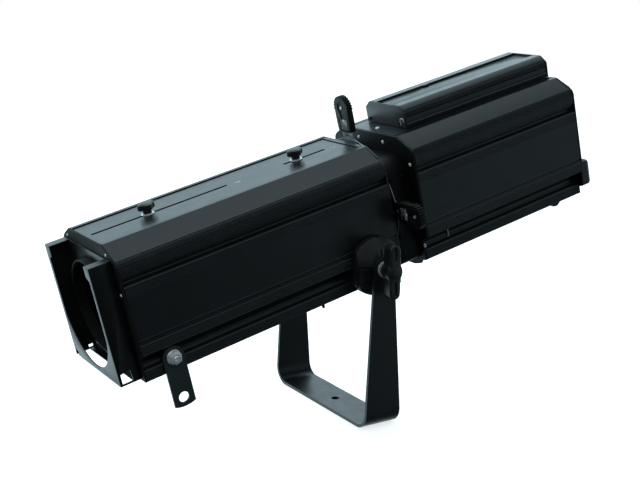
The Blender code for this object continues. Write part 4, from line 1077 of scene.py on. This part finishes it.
def make_safety_lug():
    """The lug's paint, its lock nut, and its bolt with a thread at the tip."""
    keep(LUG_PAINT, "safety_lug", width=0.0006)
    low, high = span("safety_lug_nut")
    place = at((low.x + high.x) / 2, 0, (low.z + high.z) / 2, ALONG_Y)
    make_lock_nut(place, -high.y, -low.y)

    low, high = span("safety_lug_bolt")
    tip, head = -low.y, -high.y
    bolt = [(0, tip - 0.0012), (0.003, tip - 0.0002), (0.0036, tip - 0.0002), (0.0046, tip - 0.0014)]
    z = tip - 0.002
    while z > tip - 0.016:
        bolt += [(0.005, z), (0.005, z - 0.0002), (0.0045, z - 0.0007)]
        z -= THREAD_PITCH
    bolt += [(0.0048, z), (0.0048, head + 0.005), (0.0088, head + 0.005), (0.009, head + 0.004)]
    shank = turned(bolt + [(0.0086, head), (0, head)], place, 32)
    piece("safety_lug_bolt_shank", shank, ZINC, ["safety_lug_bolt"], angle=50)


# ---- Rear cap, gland and inner parts ----
def make_rear_cap():
    """The rear cap's two screws and its row of louvres."""
    keep(SHEET_PAINT, "rear_cap", width=0.0012)
    back = span("rear_cap")[1].x
    seat = back - 0.0003
    heads = [screw_head((seat, y, 0.0005), FACES_BACK, 0.0042, 0.0024) for y in (-0.082, 0.082)]
    piece("rear_cap_screws", joined(*heads), ZINC, body="lamp_carrier")
    grille = []
    for i in range(7):
        h = 0.036 + 0.0095 * i
        grille.append(block((back - 0.0022, -0.034, h), (back - 0.0004, 0.034, h + 0.003), 0.0006, 2))
    piece("rear_cap_louvres", joined(*grille), SHADED_BLACK_PAINT, body="lamp_carrier")


def make_cable_gland():
    """A gland through the lamphouse's bottom plate: threaded body, hexagon and dome nut."""
    low, high = span("cable_gland")
    s, y = (low.x + high.x) / 2, (low.y + high.y) / 2
    sheet = span("lamphouse_bottom_plate")[0].z
    bore = 0.0051
    top, bottom = high.z, low.z
    body = [(bore, top), (0.0078, top), (0.0079, sheet - 0.0005), (bore, sheet - 0.0005)]
    dome = [(bore, sheet - 0.0066), (0.0104, sheet - 0.0066), (0.0108, sheet - 0.01)]
    dome += [(0.0092, bottom + 0.004), (0.006, bottom + 0.0001), (bore, bottom + 0.0001)]
    outlines = [circle((0, 0), 0.0115, 6), circle((0, 0), bore, 24)]
    nut = plate(outlines, 0.0062, at(s, y, sheet - 0.0037), 0.0006, 2)
    gland = joined(ring(body, at(s, y, 0), 32), nut, ring(dome, at(s, y, 0)))
    piece("cable_gland_body", gland, PLASTIC, ["cable_gland"])


def make_inner_parts():
    keep(ROD_STEEL, "guide_rod_near", "guide_rod_far")
    keep(STEEL, "reflector_bracket", "lamp_tray")
    keep(CERAMIC, "lamp_holder")
    for node, look in (("reflector", MIRROR), ("lamp", LAMP_GLASS)):
        keep(look, node, width=0)
        NODES[node].data.shade_smooth()


# ---- Floor, light and camera ----
def make_world():
    """A soft gradient that is bright behind and above; the camera itself sees plain white."""
    world = bpy.data.worlds.new("studio")
    bpy.context.scene.world = world
    world.use_nodes = True
    tree = world.node_tree
    tree.nodes.clear()
    links = tree.links
    where = add_node(tree, "TexCoord")
    split = add_node(tree, "SeparateXYZ")
    links.new(where.outputs["Generated"], split.inputs["Vector"])

    def swell(axis, start, end, low, high):
        ends = {"From Min": start, "From Max": end, "To Min": low, "To Max": high}
        spread = add_node(tree, "MapRange", ends)
        spread.interpolation_type = "SMOOTHSTEP"
        links.new(split.outputs[axis], spread.inputs["Value"])
        return spread.outputs["Result"]

    def combine(operation, a, b):
        total = add_node(tree, "Math")
        total.operation = operation
        links.new(a, total.inputs[0])
        links.new(b, total.inputs[1])
        return total.outputs["Value"]

    behind = swell("Y", -0.15, 0.65, 0.02, 1.32)
    above = combine("MULTIPLY", swell("Z", 0.2, 0.95, 0.0, 0.52), swell("X", 0.1, 0.45, 1.0, 0.62))
    right = combine("MULTIPLY", swell("X", 0.28, 0.64, 0.0, 0.4), swell("Z", -0.42, -0.22, 0.25, 1.0))
    level = combine("ADD", combine("ADD", behind, above), right)
    studio = add_node(tree, "Background")
    tint = add_node(tree, "MixRGB", {"Fac": 1.0, "Color1": (0.7, 0.93, 1.02, 1)})
    tint.blend_type = "MULTIPLY"
    links.new(level, tint.inputs["Color2"])
    links.new(tint.outputs["Color"], studio.inputs["Color"])
    seen = add_node(tree, "Background", {"Color": (1, 1, 1, 1)})
    ray = add_node(tree, "LightPath")
    mix = add_node(tree, "MixShader")
    out = add_node(tree, "OutputWorld")
    links.new(ray.outputs["Is Camera Ray"], mix.inputs["Fac"])
    links.new(studio.outputs["Background"], mix.inputs[1])
    links.new(seen.outputs["Background"], mix.inputs[2])
    links.new(mix.outputs["Shader"], out.inputs["Surface"])


def make_floor():
    """A plain pale disc under the yoke, left out of reflections so that the dark panels stay dark."""
    shape = bmesh.new()
    bmesh.ops.create_circle(shape, cap_ends=True, segments=64, radius=6.0)
    mesh = bpy.data.meshes.new("floor")
    shape.to_mesh(mesh)
    shape.free()
    floor = linked("floor", mesh)
    floor.location.z = -0.0006
    floor.visible_glossy = False
    floor.visible_diffuse = False
    values = {"Base Color": (0.86, 0.87, 0.87, 1), "Roughness": 0.9, "Specular IOR Level": 0.0}
    values.update({"Emission Color": (1, 1, 1, 1), "Emission Strength": 0.72})
    look = material("pale_floor", lambda tree: (), values)
    mesh.materials.append(look)


def make_lights():
    for name, place, size, power in (
        ("overhead_softbox", (0.2, 0.6, 2.6), 2.2, 6),
        ("front_softbox", (-1.9, -1.7, 1.6), 2.4, 12),
    ):
        data = bpy.data.lights.new(name, "AREA")
        data.shape = "SQUARE"
        data.size = size
        data.energy = power
        light = linked(name, data)
        light.location = place
        aim = Vector((0.0, 0.0, 0.25)) - Vector(place)
        light.rotation_euler = aim.to_track_quat("-Z", "Y").to_euler()


def make_camera():
    data = bpy.data.cameras.new("camera")
    data.sensor_width = 36.0
    data.lens = 66.764
    data.clip_start = 0.05
    data.clip_end = 50
    camera = linked("camera", data)
    camera.location = (-0.9505, -1.4843, 0.6773)
    camera.rotation_euler = (math.radians(90 - 13.302), 0, math.radians(-31.854))
    bpy.context.scene.camera = camera


bpy.context.scene.view_settings.view_transform = "Standard"
bpy.context.scene.view_settings.look = "None"
make_world()
make_floor()
make_lights()
make_camera()
make_side_profiles()
make_vent_cover()
make_vent_lid()
make_vent_caps()
make_yoke()
make_tilt_clamps()
make_lens_clamps()
make_index_marks()
make_shutters()
make_gate()
make_flange_and_plates()
make_plate_screws()
make_holder()
make_safety_lug()
make_rear_cap()
make_cable_gland()
make_inner_parts()
